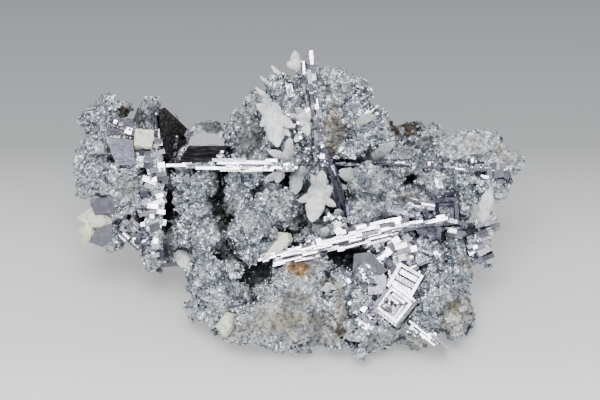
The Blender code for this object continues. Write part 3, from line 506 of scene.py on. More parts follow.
# Middle of the front (x, y, z), side, height, number of frames, slats across the middle, turn
# and tilt in degrees, bright share, share of brightness left by tarnish.
HOPPERS = [
    ((29.0, 20.2, 11.5), 7.6, 7.0, 1, 3, -30, -6, 1.0, 0.86),
    ((26.2, 13.6, 12.5), 9.2, 9.0, 4, 0, -38, -8, 0.7, 0.9),
    ((20.4, 11.6, 11.0), 4.6, 6.0, 2, 1, -38, 8, 0.6, 0.86),
    ((40.6, 39.2, 0.6), 7.6, 8.0, 2, 0, 6, 8, 0.0, 0.8),
]
FRAME_DROP = 0.62  # how far each frame lies below the one around it
OFF_CENTRE = np.array([-0.16, -0.12])  # shift of each frame in walls: one side's steps are wider
BAR_HALF = 0.40, 0.47  # half thickness of a bar, in walls, from least to most
SLATTED_WALL, SLAT_HALF = 0.13, 0.36  # a wall in sides, and a slat's half thickness in pitches
packs = []
for middle, side, height, frames, slats, turn, tilt, bright, tarnish in HOPPERS:
    middle = np.array(middle)
    axes = turned_axes(math.radians(turn), math.radians(tilt))[0]
    half = np.array([side, side, height]) / 2
    flat_crystals.append((middle - axes[2] * height / 2, half, axes, height * 0.5))
    wall = side / 2 / (frames + 1.1) if slats == 0 else side * SLATTED_WALL
    bars = []
    for k in range(frames):
        reach, top = side / 2 - wall * k, -FRAME_DROP * k
        drift = OFF_CENTRE * wall * k
        for quarter in range(4):
            thick = wall * rng.uniform(*BAR_HALF)
            out = (reach - thick) * (1 if quarter < 2 else -1)
            span = reach - (2 * thick if quarter % 2 else 0.0)
            foot = top - (rng.random() < 0.25) * rng.uniform(0.4, 1.0)
            spot = [out, 0.0] if quarter % 2 == 0 else [0.0, out]
            size = [thick, span] if quarter % 2 == 0 else [span, thick]
            bars.append([*(np.array(spot) + drift), foot, *size])
    inner = side / 2 - wall * frames
    for k in range(slats):
        pitch = 2 * inner / slats
        along, down = rng.uniform(-0.2, 0.2), -0.5 - rng.uniform(0, 0.6)
        bars.append([along, -inner + pitch * (k + 0.5), down, inner, pitch * SLAT_HALF])
    bars = np.array(bars)
    count = len(bars)
    spots = middle + np.column_stack([bars[:, :2], bars[:, 2] - height / 2]) @ axes
    sizes = np.column_stack([bars[:, 3:], np.full(count, height / 2)])
    lies = np.tile(axes, (count, 1, 1))
    lift, sway, tone = lie_of_edges(count, bright)
    packs.append((spots, sizes, lies, front_slopes(lies, lift * 0.8, sway), tone * tarnish))
hoppers = add_boxes("hopper_frames", bright_galena, *map(np.concatenate, zip(*packs)))
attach(hoppers, "root")
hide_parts("galena_skeleton")


# --- The druse-coated body ------------------------------------------------------------------
# The rest of the boxwork is lumps of galena crusted with fine crystals, blue-grey and mottled,
# stained tan in places and coated white in others. Its surface is knobbly at every scale. Painted
# shade darkens its hollows and shadows, and painted light lightens some spots that lie in shade.

VOXEL = 0.58 * MM  # side of the crust's faces
SEAM = 0.9  # how far the two halves of the crust overlap
TUCK = 0.35  # how far the crust sinks beside a flat crystal
CRUST_TONE = 0.92
TAN, OCHRE, BROWN = "#a39578", "#bb8420", "#4a3c2c"  # stains of iron
CREAM, WHITE, ROCK, PAINTED_LIGHT = "#e9e7d6", "#fafcff", "#d0cdc5", "#cdd5dd"  # coats of calcite and clay; the pale grey is painted light, and so is the white in some recesses
LILAC, SLATE, PAINTED_SHADE = "#918f9d", "#3e4146", "#0c0c0e"  # bare and tarnished galena, and a near-black painted shade for deep hollows and shadows
# Middle (x, y, z), radii (x, y, z), colour and strength of each stain, coat, patch of painted shade
# and patch of painted light.
STAINS = [
    ((-4.0, 9.6, 14.0), (15.0, 8.5, 10.0), ROCK, 0.9),
    ((4.6, 5.0, 12.0), (10.0, 6.0, 9.0), ROCK, 0.85),
    ((-4.2, 9.0, 14.0), (6.4, 3.2, 10.0), TAN, 0.6),
    ((-0.8, 16.0, 12.0), (4.0, 3.0, 9.0), TAN, 0.75),
    ((5.6, 9.0, 12.0), (4.4, 3.6, 9.0), TAN, 0.8),
    ((-17.6, 6.4, 10.0), (3.6, 4.6, 8.0), TAN, 0.6),
    ((0.4, 20.6, 10.0), (6.0, 7.0, 9.0), ROCK, 0.6),
    ((-0.2, 24.0, 10.0), (4.4, 4.2, 8.0), OCHRE, 0.95),
    ((8.0, 18.6, 6.0), (4.8, 4.0, 9.0), CREAM, 0.95),
    ((9.6, 17.0, 7.0), (1.8, 1.6, 8.0), OCHRE, 0.5),
    ((11.2, 11.6, 11.0), (2.6, 4.6, 8.0), TAN, 0.8),
    ((24.0, 4.6, 10.0), (8.0, 3.0, 8.0), TAN, 0.55),
    ((43.6, 11.4, 5.0), (5.6, 8.0, 9.0), ROCK, 0.9),
    ((43.0, 13.4, 5.0), (2.4, 2.6, 8.0), TAN, 0.85),
    ((32.0, 3.4, 8.0), (10.0, 3.4, 9.0), ROCK, 0.85),
    ((46.6, 24.6, -2.0), (3.4, 2.8, 8.0), BROWN, 0.85),
    ((9.8, 62.0, -7.0), (4.0, 9.0, 7.0), TAN, 0.85),
    ((10.4, 65.0, -7.0), (1.8, 2.6, 7.0), BROWN, 0.7),
    ((10.8, 55.4, -5.0), (3.0, 2.4, 7.0), OCHRE, 0.5),
    ((29.2, 63.2, -10.0), (6.4, 3.4, 12.0), BROWN, 1.0),
    ((-50.6, 66.6, -11.0), (4.4, 3.4, 7.0), BROWN, 1.0),
    ((-42.2, 66.4, -8.0), (4.4, 5.4, 9.0), LILAC, 0.95),
    ((-45.0, 66.4, -8.0), (1.4, 2.4, 8.0), BROWN, 0.7),
    ((18.4, 24.2, 8.0), (1.8, 3.0, 6.0), OCHRE, 0.7),
    ((9.6, 31.6, 4.0), (4.0, 2.8, 6.0), CREAM, 0.9),
    ((30.6, 43.6, -1.0), (1.6, 1.6, 6.0), OCHRE, 0.6),
    ((31.6, 42.4, -1.0), (5.0, 3.2, 6.0), CREAM, 0.45),
    ((48.6, 57.6, -4.0), (10.0, 4.6, 8.0), WHITE, 1.0),
    ((51.0, 55.4, -4.8), (5.0, 3.4, 8.0), WHITE, 0.95),
    ((57.4, 54.8, -6.0), (5.6, 3.4, 8.0), CREAM, 0.8),
    ((9.0, 36.4, 2.0), (4.4, 4.4, 7.0), WHITE, 0.85),
    ((3.4, 62.0, -4.0), (3.0, 4.6, 6.0), WHITE, 0.6),
    ((-28.4, 60.6, -7.0), (5.0, 2.4, 6.0), TAN, 0.45),
    ((-55.6, 32.6, -6.0), (3.6, 4.4, 6.0), TAN, 0.45),
    ((-19.6, 7.0, 7.0), (3.4, 4.8, 6.0), CREAM, 0.75),
    ((-15.0, 6.0, 9.0), (5.0, 4.4, 7.0), TAN, 0.3),
    ((-13.4, 69.6, -7.0), (2.2, 2.6, 5.0), WHITE, 0.8),
    ((14.0, 47.0, -3.0), (3.0, 4.0, 6.0), WHITE, 0.45),
    ((6.8, 74.6, -7.0), (1.8, 2.2, 4.0), WHITE, 0.5),
    # The near-black patches here and further down are painted shade, in cavities, clefts and the
    # shadows beside plates.
    ((10.6, 25.4, 0.0), (4.8, 3.4, 10.0), PAINTED_SHADE, 1.0),
    ((-23.4, 46.8, -6.0), (2.6, 5.4, 9.0), PAINTED_SHADE, 0.9),
    ((-23.0, 40.0, -9.0), (4.6, 3.0, 10.0), PAINTED_SHADE, 0.95),
    ((-21.6, 34.6, -2.0), (2.8, 3.0, 7.0), PAINTED_SHADE, 0.95),
    ((-18.4, 26.0, 0.0), (2.6, 1.8, 7.0), PAINTED_SHADE, 0.8),
    ((0.4, 35.0, -6.0), (3.2, 4.2, 10.0), PAINTED_SHADE, 1.0),
    ((40.4, 39.0, -1.5), (2.4, 2.2, 5.0), PAINTED_SHADE, 1.0),
    ((-36.2, 53.8, -9.0), (3.0, 6.0, 8.0), PAINTED_SHADE, 1.0),
    ((10.6, 7.0, 12.0), (2.4, 3.6, 6.0), BROWN, 1.0),
    ((31.0, 48.8, -6.0), (2.4, 2.4, 9.0), PAINTED_SHADE, 0.95),
    ((39.6, 51.6, -2.0), (3.6, 0.9, 6.0), PAINTED_SHADE, 0.95),
    ((40.6, 60.9, -7.8), (5.0, 2.6, 8.0), SLATE, 0.6),
    ((-48.0, 45.4, 0.0), (3.0, 4.0, 6.0), SLATE, 0.75),
    ((-48.0, 35.8, -3.6), (3.0, 3.6, 6.0), SLATE, 1.0),
    ((-15.3, 17.5, 4.0), (2.8, 2.8, 6.0), SLATE, 0.45),
    # The pale patches here and further down are painted light, lightening druse that lies in shade.
    ((-55.0, 55.2, -5.8), (3.5, 5.0, 6.0), PAINTED_LIGHT, 0.8),
    ((20.0, 42.4, 1.5), (10.0, 8.0, 9.0), PAINTED_LIGHT, 0.45),
    ((-7.0, 38.4, 4.0), (6.0, 6.4, 8.0), PAINTED_LIGHT, 0.4),
    ((-8.4, 57.0, 5.0), (3.4, 3.4, 6.0), PAINTED_LIGHT, 0.9),
    ((9.6, 49.8, -1.0), (3.4, 3.4, 6.0), PAINTED_LIGHT, 0.4),
    ((-37.0, 31.0, -6.0), (1.8, 8.0, 9.0), PAINTED_SHADE, 0.85),
    ((-14.2, 60.0, -1.0), (5.0, 9.0, 9.0), SLATE, 0.85),
    ((-25.6, 63.4, -6.0), (5.8, 3.6, 9.0), SLATE, 0.95),
    ((8.4, 75.0, -8.0), (8.6, 6.6, 9.0), SLATE, 0.4),
    ((29.6, 56.4, -2.0), (3.0, 4.0, 8.0), SLATE, 0.85),
    ((34.2, 48.7, -1.0), (3.0, 2.6, 6.0), PAINTED_SHADE, 0.8),
    ((-18.8, 38.4, -2.2), (2.4, 4.4, 6.0), PAINTED_SHADE, 0.7),
    ((-43.6, 67.6, -5.8), (2.2, 2.0, 6.0), SLATE, 0.8),
    ((29.6, 9.2, 12.0), (2.6, 2.2, 6.0), SLATE, 0.9),
    # The white patches from here on are painted light too, lightening recesses and spots that lie
    # in shade.
    ((19.4, 54.4, -11.0), (6.4, 3.8, 7.0), WHITE, 1.0),
    ((-9.3, 21.0, -10.0), (5.4, 4.4, 9.0), WHITE, 1.0),
    ((-21.9, 29.4, -2.0), (2.2, 2.0, 5.0), PAINTED_LIGHT, 0.6),
    ((40.8, 32.7, -6.0), (2.6, 2.8, 6.0), WHITE, 0.9),
    ((-3.7, 50.0, -13.0), (3.0, 3.0, 6.0), WHITE, 0.8),
    ((6.2, 51.9, -7.0), (2.6, 2.6, 5.0), WHITE, 0.8),
    ((1.7, 71.0, -4.2), (2.0, 3.0, 5.0), WHITE, 0.8),
    ((17.3, 28.6, -12.0), (3.0, 3.0, 6.0), WHITE, 0.8),
    ((23.5, 44.0, -0.5), (3.2, 2.8, 5.0), WHITE, 0.7),
    ((35.0, 59.2, -8.0), (3.2, 2.8, 6.0), SLATE, 0.9),
]


def cell_values(cells, seed):
    """Numbers from 0 to 1 for whole-number cells: the fraction of a large sine of the cell."""
    waves = np.abs(np.sin(cells @ np.array([127.1, 311.7, 74.7]) + 19.19 * seed))
    return np.modf(waves * 43758.5453)[0]


def soft_noise(points, size, seed):
    """Noise from -1 to 1: a smooth blend of random values at the corners of each lattice cube."""
    spots = points / size
    low = np.floor(spots)
    part = spots - low
    part = part * part * (3 - 2 * part)
    total = np.zeros(len(points))
    for corner in itertools.product((0, 1), repeat=3):
        share = np.prod(np.where(corner, part, 1 - part), axis=1)
        total += share * cell_values(low + corner, seed)
    return 2 * total - 1


def facets(points, size, seed, tilt):
    """Flat facets, one to each random seed point, of which each lattice cube holds one: the level
    of the nearest seed, plus the seed's own slope times the way from it. From -1 to 1 or so."""
    spots = points / size
    low = np.floor(spots)
    nearest, level = np.full(len(points), 9.0), np.zeros(len(points))
    for step in itertools.product((-1, 0, 1), repeat=3):
        cell = low + step
        way = spots - cell - np.stack([cell_values(cell, seed + k) for k in (1, 2, 3)], axis=1)
        slope = np.stack([cell_values(cell, seed + k) for k in (4, 5, 6)], axis=1) - 0.5
        closer = (way**2).sum(1) < nearest
        nearest = np.where(closer, (way**2).sum(1), nearest)
        plane = 2 * cell_values(cell, seed + 7) - 1 + tilt * (way * slope).sum(1)
        level = np.where(closer, plane, level)
    return level


def gap_to_flats(points):
    """Distance from each point to the nearest flat crystal, 0 inside one. A box's gap is the
    length of what stands out past its half sides; a face's is the largest distance past an
    edge line or its front or back."""
    gap = np.full(len(points), 99.0)
    for middle, half, axes, _ in flat_crystals:
        past = np.maximum(np.abs((points - middle) @ axes.T) - half, 0.0)
        gap = np.minimum(gap, np.linalg.norm(past, axis=1))
    for outline, level, slope_x, slope_y, thickness in flat_faces:
        corners = np.array(outline)
        edges = np.roll(corners, -1, axis=0) - corners
        normals = unit(np.column_stack([edges[:, 1], -edges[:, 0]]))
        if np.cross(*edges[:2]) < 0:
            normals = -normals
        past = ((points[:, None, :2] - corners) * normals).sum(2).max(1)
        height = level + (points[:, :2] - corners.mean(0)) @ [slope_x, slope_y]
        past = np.maximum(past, points[:, 2] - height)
        past = np.maximum(past, height - thickness - points[:, 2])
        gap = np.minimum(gap, np.maximum(past, 0.0))
    return gap


def drawn_in(points):
    """Pulls what lies within half a millimetre of a flat crystal back below its front."""
    moved = points.copy()
    for middle, half, axes, depth in flat_crystals:
        local = (moved - middle) @ axes.T
        near = (np.abs(local) < half + 0.5).all(1)
        local[near, 2] = np.minimum(local[near, 2], half[2] - depth)
        moved[near] = middle + local[near] @ axes
    return moved


def stain_of(points):
    """Colour and strength of the coats, painted shade and painted light at each point. A stain's
    strength falls from its middle as one less the squared distance in radii, with an edge that
    noise breaks up."""
    colour = np.tile(np.array(srgb(WHITE))[:3], (len(points), 1))
    strength = np.zeros(len(points))
    broken = 0.55 * soft_noise(points, 1.6, 40) + 0.35 * soft_noise(points, 0.6, 41)
    for middle, radii, code, amount in STAINS:
        share = 1 - (((points - middle) / radii) ** 2).sum(1) + broken
        share = np.clip(share * 1.6, 0.0, 1.0) * amount
        colour += (np.array(srgb(code))[:3] - colour) * share[:, None]
        strength = np.maximum(strength, share)
    return np.column_stack([colour, strength])


def closeness(points, normals, crowd):
    """How closed in each point is, from 0 to 1: of the small cubes around a spot that lies out
    along the normal, the share that hold some of the crowd of surface points."""
    size, reach, margin, out = 1.5, 4, 14, 5.0  # in mm, but reach is in cubes
    low = crowd.min(0) - margin
    full = np.zeros(((crowd.max(0) - low + margin) / size).astype(int) + 1)
    full[tuple(((crowd - low) / size).astype(int).T)] = 1.0
    for axis in range(3):
        sums = np.cumsum(full, axis)
        full = (np.roll(sums, -reach, axis) - np.roll(sums, reach + 1, axis)) / (2 * reach + 1)
    share = full[tuple(((points + normals * out - low) / size).astype(int).T)]
    # a third of the cubes are full at an open face, and three fifths in a cleft
    return np.clip((share - 0.34) / 0.26, 0.0, 1.0)


# Druse: silver-grey metal grains, dusty and mottled, under the stains, painted shade and painted
# light carried by the mesh; its hollows are darkened with painted shade. The mottling is 1 mm wide,
# the clouds 7 mm, and the crystal facets 0.6 to 0.7 mm in patches of 3 mm. The real grains go down
# to 0.1 mm, too fine to show.
druse, tree, shader = new_material("galena_druse")
place = node(tree, "TexCoord").outputs["Object"]
stain = node(tree, "Attribute", attribute_name="stain")
coated = stain.outputs["Alpha"]
hollow_shade = node(tree, "Attribute", attribute_name="hollow_shade").outputs["Fac"]
tone = node(tree, "Attribute", attribute_name="tone").outputs["Fac"]
mottle = node(tree, "TexNoise", {"Vector": place, "Scale": 900.0, "Detail": 5.0, "Roughness": 0.7})
clouds = node(tree, "TexNoise", {"Vector": place, "Scale": 150.0, "Detail": 3.0})
grain, small, wide = (
    node(tree, "TexVoronoi", {"Vector": place, "Scale": scale})
    for scale in (1700.0, 1500.0, 330.0)
)
# bare grains
stops = [(0.39, "#8a919b"), (0.45, "#c7ccd3"), (0.5, "#eef0f3"), (0.55, "#ffffff")]
grey = node(tree, "ValToRGB", {"Fac": mottle}, stops)
cloud = node(tree, "ValToRGB", {"Fac": clouds}, [(0.35, "#a9b0b8"), (0.65, "#ffffff")])
grey = node(tree, "Mix", {0: 0.6, 6: grey, 7: cloud}, **MULTIPLY).outputs[2]
# coated and stained grains
stops = [(0.36, "#84827e"), (0.48, "#d6d5d2"), (0.58, "#ffffff")]
gritty = node(tree, "ValToRGB", {"Fac": mottle}, stops)
stops = [(0.36, "#a9adb3"), (0.5, "#e4e0d8"), (0.64, "#ffffff")]
blocks = node(tree, "ValToRGB", {"Fac": wide.outputs["Color"]}, stops)
gritty = node(tree, "Mix", {0: 1.0, 6: gritty, 7: blocks}, **MULTIPLY).outputs[2]
coat = node(tree, "Mix", {0: 1.0, 6: stain, 7: gritty}, **MULTIPLY).outputs[2]
base = node(tree, "Mix", {0: coated, 6: grey, 7: coat}, data_type="RGBA").outputs[2]
# painted shade: hollows are darkened, less so under a coat, and each grain has its own tone
stops = [(0.0, "#ffffff"), (0.5, "#cfcfd0"), (1.0, "#3a3a3c")]
shade = node(tree, "ValToRGB", {"Fac": hollow_shade}, stops)
dimmed = node(tree, "MapRange", {"Value": coated, 3: 1.0, 4: 0.4})
base = node(tree, "Mix", {0: dimmed, 6: base, 7: shade}, **MULTIPLY).outputs[2]
stops = [(0.0, "#303338"), (0.8, "#e0e4e9"), (1.0, "#ffffff")]
shade = node(tree, "ValToRGB", {"Fac": tone}, stops)
base = node(tree, "Mix", {0: 1.0, 6: base, 7: shade}, **MULTIPLY).outputs[2]
metal = node(tree, "MapRange", {"Value": coated, 3: 0.88, 4: 0.0})
rough = node(tree, "MapRange", {"Value": mottle, 1: 0.3, 2: 0.7, 3: 0.42, 4: 0.16})
# each small cell of the surface is a crystal facet that leans its own way, and so is each patch
gritted = node(tree, "MapRange", {"Value": clouds, 1: 0.42, 2: 0.58, 3: 0.45, 4: 1.15})
way = node(tree, "NewGeometry").outputs["Normal"]
for cells, lean in ((small, 0.75), (wide, 0.7)):
    spread = {0: cells.outputs["Color"], 1: (0.5, 0.5, 0.5)}
    spread = node(tree, "VectorMath", spread, operation="SUBTRACT")
    bare = node(tree, "MapRange", {"Value": coated, 3: lean, 4: 0.12})
    bare = node(tree, "Math", {0: bare, 1: gritted}, operation="MULTIPLY")
    spread = node(tree, "VectorMath", {0: spread, "Scale": bare}, operation="SCALE")
    way = node(tree, "VectorMath", {0: way, 1: spread}, operation="ADD")
way = node(tree, "VectorMath", {0: way}, operation="NORMALIZE")
relief = node(tree, "Bump", {"Height": grain, "Normal": way, "Strength": 0.5, "Distance": 0.0003})
feed(shader, {"Base Color": base, "Metallic": metal, "Roughness": rough, "Normal": relief})


def face_arrays(mesh):
    """A mesh's points and its vertex normals in the face frame, as arrays: to_part undone."""
    points, normals = np.empty(len(mesh.vertices) * 3), np.empty(len(mesh.vertices) * 3)
    mesh.vertices.foreach_get("co", points)
    mesh.vertex_normals.foreach_get("vector", normals)
    points = (points.reshape(-1, 3) / MM - BASE_SHIFT) @ TIP_BACK.T
    return points, normals.reshape(-1, 3) @ TIP_BACK.T


def reshape(mesh, points, material):
    """Moves a mesh to new points in the face frame and gives it its one material."""
    mesh.vertices.foreach_set("co", to_part(points).astype(np.float32).ravel())
    mesh.update()
    mesh.materials.clear()
    mesh.materials.append(material)


def carry_stain(mesh, points, hollow_shade, tones):
    """Stores the stains, the painted shade of hollows and the tones of face-frame points as
    attributes of the mesh.
    """
    stains = stain_of(points).astype(np.float32).ravel()
    mesh.attributes.new("stain", "FLOAT_COLOR", "POINT").data.foreach_set("color", stains)
    put_values(mesh, "hollow_shade", hollow_shade)
    put_values(mesh, "tone", tones)


def stain_boxes(mesh, spots, hollow_shade, tones):
    """The same for boxes, each of which has one stain, hollow shade and tone at all its corners."""
    spots = np.repeat(spots, len(BOX_CORNERS), axis=0)
    carry_stain(mesh, spots, *(np.repeat(part, len(BOX_CORNERS)) for part in (hollow_shade, tones)))


def fine_copy(name, source, voxel, low=None, high=None):
    """A copy of a solid, merged, cut between two x planes, and remeshed in small even faces."""
    mesh = source.data.copy()
    mesh.name = name
    bm = bmesh.new()
    bm.from_mesh(mesh)
    bmesh.ops.remove_doubles(bm, verts=bm.verts[:], dist=1e-6)
    bm.to_mesh(mesh)
    bm.free()
    piece = add_object(name, mesh)
    if low is not None:
        span = bmesh.new()
        for vert in bmesh.ops.create_cube(span, size=1.0)["verts"]:
            vert.co = Vector((low if vert.co.x < 0 else high, vert.co.y * 0.4, vert.co.z * 0.4))
        side = add_object("side", bpy.data.meshes.new("side"))
        span.to_mesh(side.data)
        span.free()
        cut = piece.modifiers.new("cut", "BOOLEAN")
        cut.operation, cut.object, cut.solver = "INTERSECT", side, "EXACT"
    even = piece.modifiers.new("even", "REMESH")
    even.mode, even.voxel_size = "VOXEL", voxel
    bpy.context.view_layer.update()
    made = piece.evaluated_get(bpy.context.evaluated_depsgraph_get())
    mesh = bpy.data.meshes.new_from_object(made)
    piece.modifiers.clear()
    piece.data = mesh
    if low is not None:
        bpy.data.objects.remove(side)
    return piece


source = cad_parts["galena_skeleton"]
low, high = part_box("galena_skeleton")
crusts = []
for name, left, right in (
    ("crust_left", low.x - 10 * MM, SEAM * MM / 2),
    ("crust_right", -SEAM * MM / 2, high.x + 10 * MM),
):
    crust = fine_copy(name, source, VOXEL, left, right)
    points, normals = face_arrays(crust.data)
    gap = gap_to_flats(points)
    coat = stain_of(points)[:, 3]
    # the crust keeps its place beside flat crystals and at the base, and swells fully further off
    share = np.clip((gap - 0.4) / 1.2, 0.0, 1.0)
    share *= np.clip((points @ TIP_BACK)[:, 2] / 1.5, 0.0, 1.0)
    # slow swelling, clefts, flat-sided lumps, smaller facets on them, and rubble under the coats
    swell = (
        0.4 * soft_noise(points, 7.5, 3)
        - 1.2 * np.clip(1 - np.abs(soft_noise(points, 8.5, 13)) / 0.1, 0.0, 1.0)
        + 1.15 * facets(points, 6.2, 5, 2.6)
        + 0.4 * facets(points, 2.8, 29, 2.8)
        + 0.5 * coat * facets(points, 1.7, 37, 2.6)
    )
    push = share * swell * (1 - 0.75 * coat) - TUCK * (gap < 0.5)
    points = drawn_in(points + normals * push[:, None])
    reshape(crust.data, points, druse)
    normals = face_arrays(crust.data)[1]
    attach(crust, "root")
    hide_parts("galena_skeleton")
    # few grains grow where a coat lies, and none at the base
    share = share * (1 - 0.85 * coat) * ((points @ TIP_BACK)[:, 2] > 1.2)
    crusts.append((crust, points, normals, share))
crowd = np.concatenate([points for _, points, _, _ in crusts])
# how closed in each point is sets the painted shade of its hollow, and later thins the grains there
hollow_shades = [closeness(points, normals, crowd) for _, points, normals, _ in crusts]
for (crust, points, _, _), hollow_shade_share in zip(crusts, hollow_shades):
    carry_stain(crust.data, points, hollow_shade_share, np.full(len(points), CRUST_TONE))


# --- Druse crystals -------------------------------------------------------------------------
# Thousands of galena grains, mostly under a millimetre across, stud the crust. Neighbours lie
# nearly parallel, so a patch of them flashes together. One in eight is a thin flake, one in
# fifty is large, and wider cleavage plates lie flat on the lumps.

GRAINS, CLEAVAGES = 15500, 700  # on each half of the crust
PATCH = 3.6  # width of a patch of grains that share their lie
FLAKES, LARGE = 0.12, 0.02  # shares of thin flakes and of large grains
SMALLEST, LARGER = 0.26, 0.75  # side of the smallest grain, and what the largest common one adds
FLAKE_SHAPE, LARGE_SHAPE = [2.3, 1.3, 0.3], [1.0, 1.0, 0.45]  # beside a common grain
for (crust, points, normals, share), hollow_shade_share in zip(crusts, hollow_shades):
    patchy = np.clip(0.55 + 1.3 * soft_noise(points, 4.6, 71), 0.12, 1.0)
    weight = share * (1 - 0.7 * hollow_shade_share) * patchy + 1e-9
    weight /= weight.sum()
    chosen = rng.choice(len(points), GRAINS, replace=False, p=weight)
    spots, outward = points[chosen], normals[chosen]
    cells = np.floor(spots / PATCH)
    lie = np.stack([cell_values(cells, 60 + k) for k in range(3)], axis=1) * 3.1
    lie += rng.normal(0.0, 0.14, lie.shape)
    sides = SMALLEST + LARGER * rng.random((GRAINS, 1)) ** 2.4
    halves = sides * rng.uniform(0.6, 1.15, (GRAINS, 3)) / 2
    halves[rng.random(GRAINS) < FLAKES] *= FLAKE_SHAPE
    large = rng.random(GRAINS) < LARGE
    halves[large] = rng.uniform(0.5, 1.1, (large.sum(), 3)) * LARGE_SHAPE
    middles, axes = spots + outward * sides * 0.2, turned_axes(*lie.T)
    grains = add_boxes(crust.name.replace("crust", "druse"), druse, middles, halves, axes)
    rng.random(GRAINS)  # not used, but it keeps the order of the draws after it
    clean = rng.random(GRAINS) < 0.3
    tones = np.where(clean, 1.0, rng.uniform(0.45, 0.95, GRAINS))
    stain_boxes(grains.data, spots, hollow_shade_share[chosen], tones)
    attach(grains, "root")
    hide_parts("galena_skeleton")

    # cleavage plates are square to the surface's normal, or nearly so
    chosen = rng.choice(len(points), CLEAVAGES, replace=False, p=weight)
    upright = unit(normals[chosen] + rng.normal(0.0, 0.28, (CLEAVAGES, 3)))
    along = unit(np.cross(upright, rng.normal(0.0, 1.0, (CLEAVAGES, 3))))
    axes = np.stack([along, np.cross(upright, along), upright], axis=1)
    widths = 0.6 + 1.5 * rng.random((CLEAVAGES, 1)) ** 1.6
    depths = widths * rng.uniform(0.4, 0.9, (CLEAVAGES, 1))
    halves = np.column_stack([widths, depths, np.full(CLEAVAGES, 0.3)])
    spots, name = points[chosen], crust.name.replace("crust", "cleavages")
    cleavages = add_boxes(name, druse, spots + upright * 0.12, halves, axes)
    tones = rng.uniform(0.55, 0.98, CLEAVAGES)
    stain_boxes(cleavages.data, spots, hollow_shade_share[chosen], tones)
    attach(cleavages, "root")
    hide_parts("galena_skeleton")


# --- Calcite blades -------------------------------------------------------------------------
# Milky calcite grew over the galena as flat, blunt-tipped blades in sprays. Each blade is a few
# thin crystals side by side, clouded inside and faintly ribbed along its length.

ALONG, AROUND = 30, 20  # points along one crystal and round it


def blade_grid(root, tip, width, thickness, bow, seed):
    """One thin crystal. Along it (s from 0 to 1) the half width swells as a quarter sine, closes
    at the root as a quarter circle and at the tip as (1 - s^3.4)^0.75, which leaves a blunt
    point; round it (t from 0 to 2 pi) the section is cos t wide and between a lens and a rhomb
    thick, so that it has a ridge and sharp sides, with fine ribs along it; its middle bows
    outwards by a sine of s."""
    s = np.linspace(0.0, 1.0, ALONG)[:, None]
    t = np.linspace(0.0, 2 * math.pi, AROUND, endpoint=False)[None, :]
    axis = tip - root
    across = unit(np.cross(axis, [0.0, 0.0, 1.0]))
    out = unit(np.cross(across, axis))
    outline = 0.6 + 0.4 * np.sin(math.pi / 2 * np.clip(s / 0.5, 0, 1))
    outline = outline * np.clip(1 - s**3.4, 0, 1) ** 0.75
    outline = outline * np.sqrt(np.clip(1 - (1 - np.minimum(s / 0.06, 1)) ** 2, 0, 1))
    steps = np.sign(np.sin(29 * s + 2.3 * seed))
    outline = outline * (1 + 0.05 * np.sin(13 * s + seed) + 0.05 * steps)
    ribs = 1 + 0.16 * np.sin(15 * np.cos(t) + seed) * np.minimum(s * 4, 1)
    wide = width / 2 * outline * np.cos(t)
    lens = 0.45 * np.abs(np.sin(t)) + 0.55 * (1 - np.abs(np.cos(t)))
    deep = thickness / 2 * outline * np.sign(np.sin(t)) * lens * ribs
    deep = deep + bow * np.sin(math.pi * s)
    points = root + s[..., None] * axis + wide[..., None] * across + deep[..., None] * out
    i, j = np.meshgrid(np.arange(ALONG - 1), np.arange(AROUND), indexing="ij")
    k = (j + 1) % AROUND
    near, far = i * AROUND, (i + 1) * AROUND
    faces = np.stack([near + j, far + j, far + k, near + k], axis=-1)
    return points.reshape(-1, 3), faces.reshape(-1, 4)


def add_blades(name, blades, material, replaced):
    """A spray of blades in one mesh. Each blade is a leading crystal and thinner companions that
    fan out slightly from the same root."""
    points, faces, count = [], [], 0
    for root, tip, width, thickness in blades:
        root, tip = np.array(root), np.array(tip)
        axis = tip - root
        across = unit(np.cross(axis, [0.0, 0.0, 1.0]))
        # how far each crystal leans over, in widths, and its length and width beside the leader's
        crew = [(0.0, 1.0, 1.0)] + [(fan, rng.uniform(0.72, 0.93), 0.62) for fan in (-0.24, 0.22)]
        for fan, reach, girth in crew:
            end = root + axis * reach + across * width * fan
            end = end + [0.0, 0.0, 0.25 * thickness * (fan != 0.0)]
            bow = rng.uniform(-0.1, 0.25)
            grid, quads = blade_grid(root, end, width * girth, thickness, bow, rng.uniform(0, 6))
            points.append(grid)
            faces.append(quads + count)
            count += len(grid)
    faces = np.concatenate(faces).tolist()
    piece = add_piece(name, np.concatenate(points), faces, material, smooth=True)
    bm = bmesh.new()
    bm.from_mesh(piece.data)
    bmesh.ops.remove_doubles(bm, verts=bm.verts[:], dist=2e-6)
    bmesh.ops.recalc_face_normals(bm, faces=bm.faces[:])
    bm.to_mesh(piece.data)
    bm.free()
    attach(piece, "root")
    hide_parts(replaced)


def calcite_finish(name, clear, cloud_codes):
    """Calcite: clouded in patches of 2.6 mm, lit from inside, and glossy on its skin, which is
    rough by 0.9 mm, coarser than the real skin so that it shows."""
    material, tree, shader = new_material(name)
    place = node(tree, "TexCoord").outputs["Object"]
    cloud, fine = (
        node(tree, "TexNoise", {"Vector": place, "Scale": scale, "Detail": 4.0})
        for scale in (380.0, 1100.0)
    )
    tint = node(tree, "ValToRGB", {"Fac": cloud}, list(zip((0.38, 0.56), cloud_codes)))
    relief = node(tree, "Bump", {"Height": fine, "Strength": 0.7, "Distance": 0.0005})
    feed(shader, {
        "Base Color": tint, "Roughness": 0.24, "IOR": 1.6, "Transmission Weight": clear,
        "Subsurface Weight": 0.12, "Subsurface Radius": (1.0, 1.0, 0.9),
        "Subsurface Scale": 0.0012, "Normal": relief,
    })
    return material


# milky calcite is full of fine bubbles, which make it a soft white; clear calcite has few, so
# that the galena behind it darkens it
milky_calcite = calcite_finish("milky_calcite", 0.08, ("#d3d9dc", "#ffffff"))
clear_calcite = calcite_finish("clear_calcite", 0.45, ("#d4dadd", "#f6f8f9"))

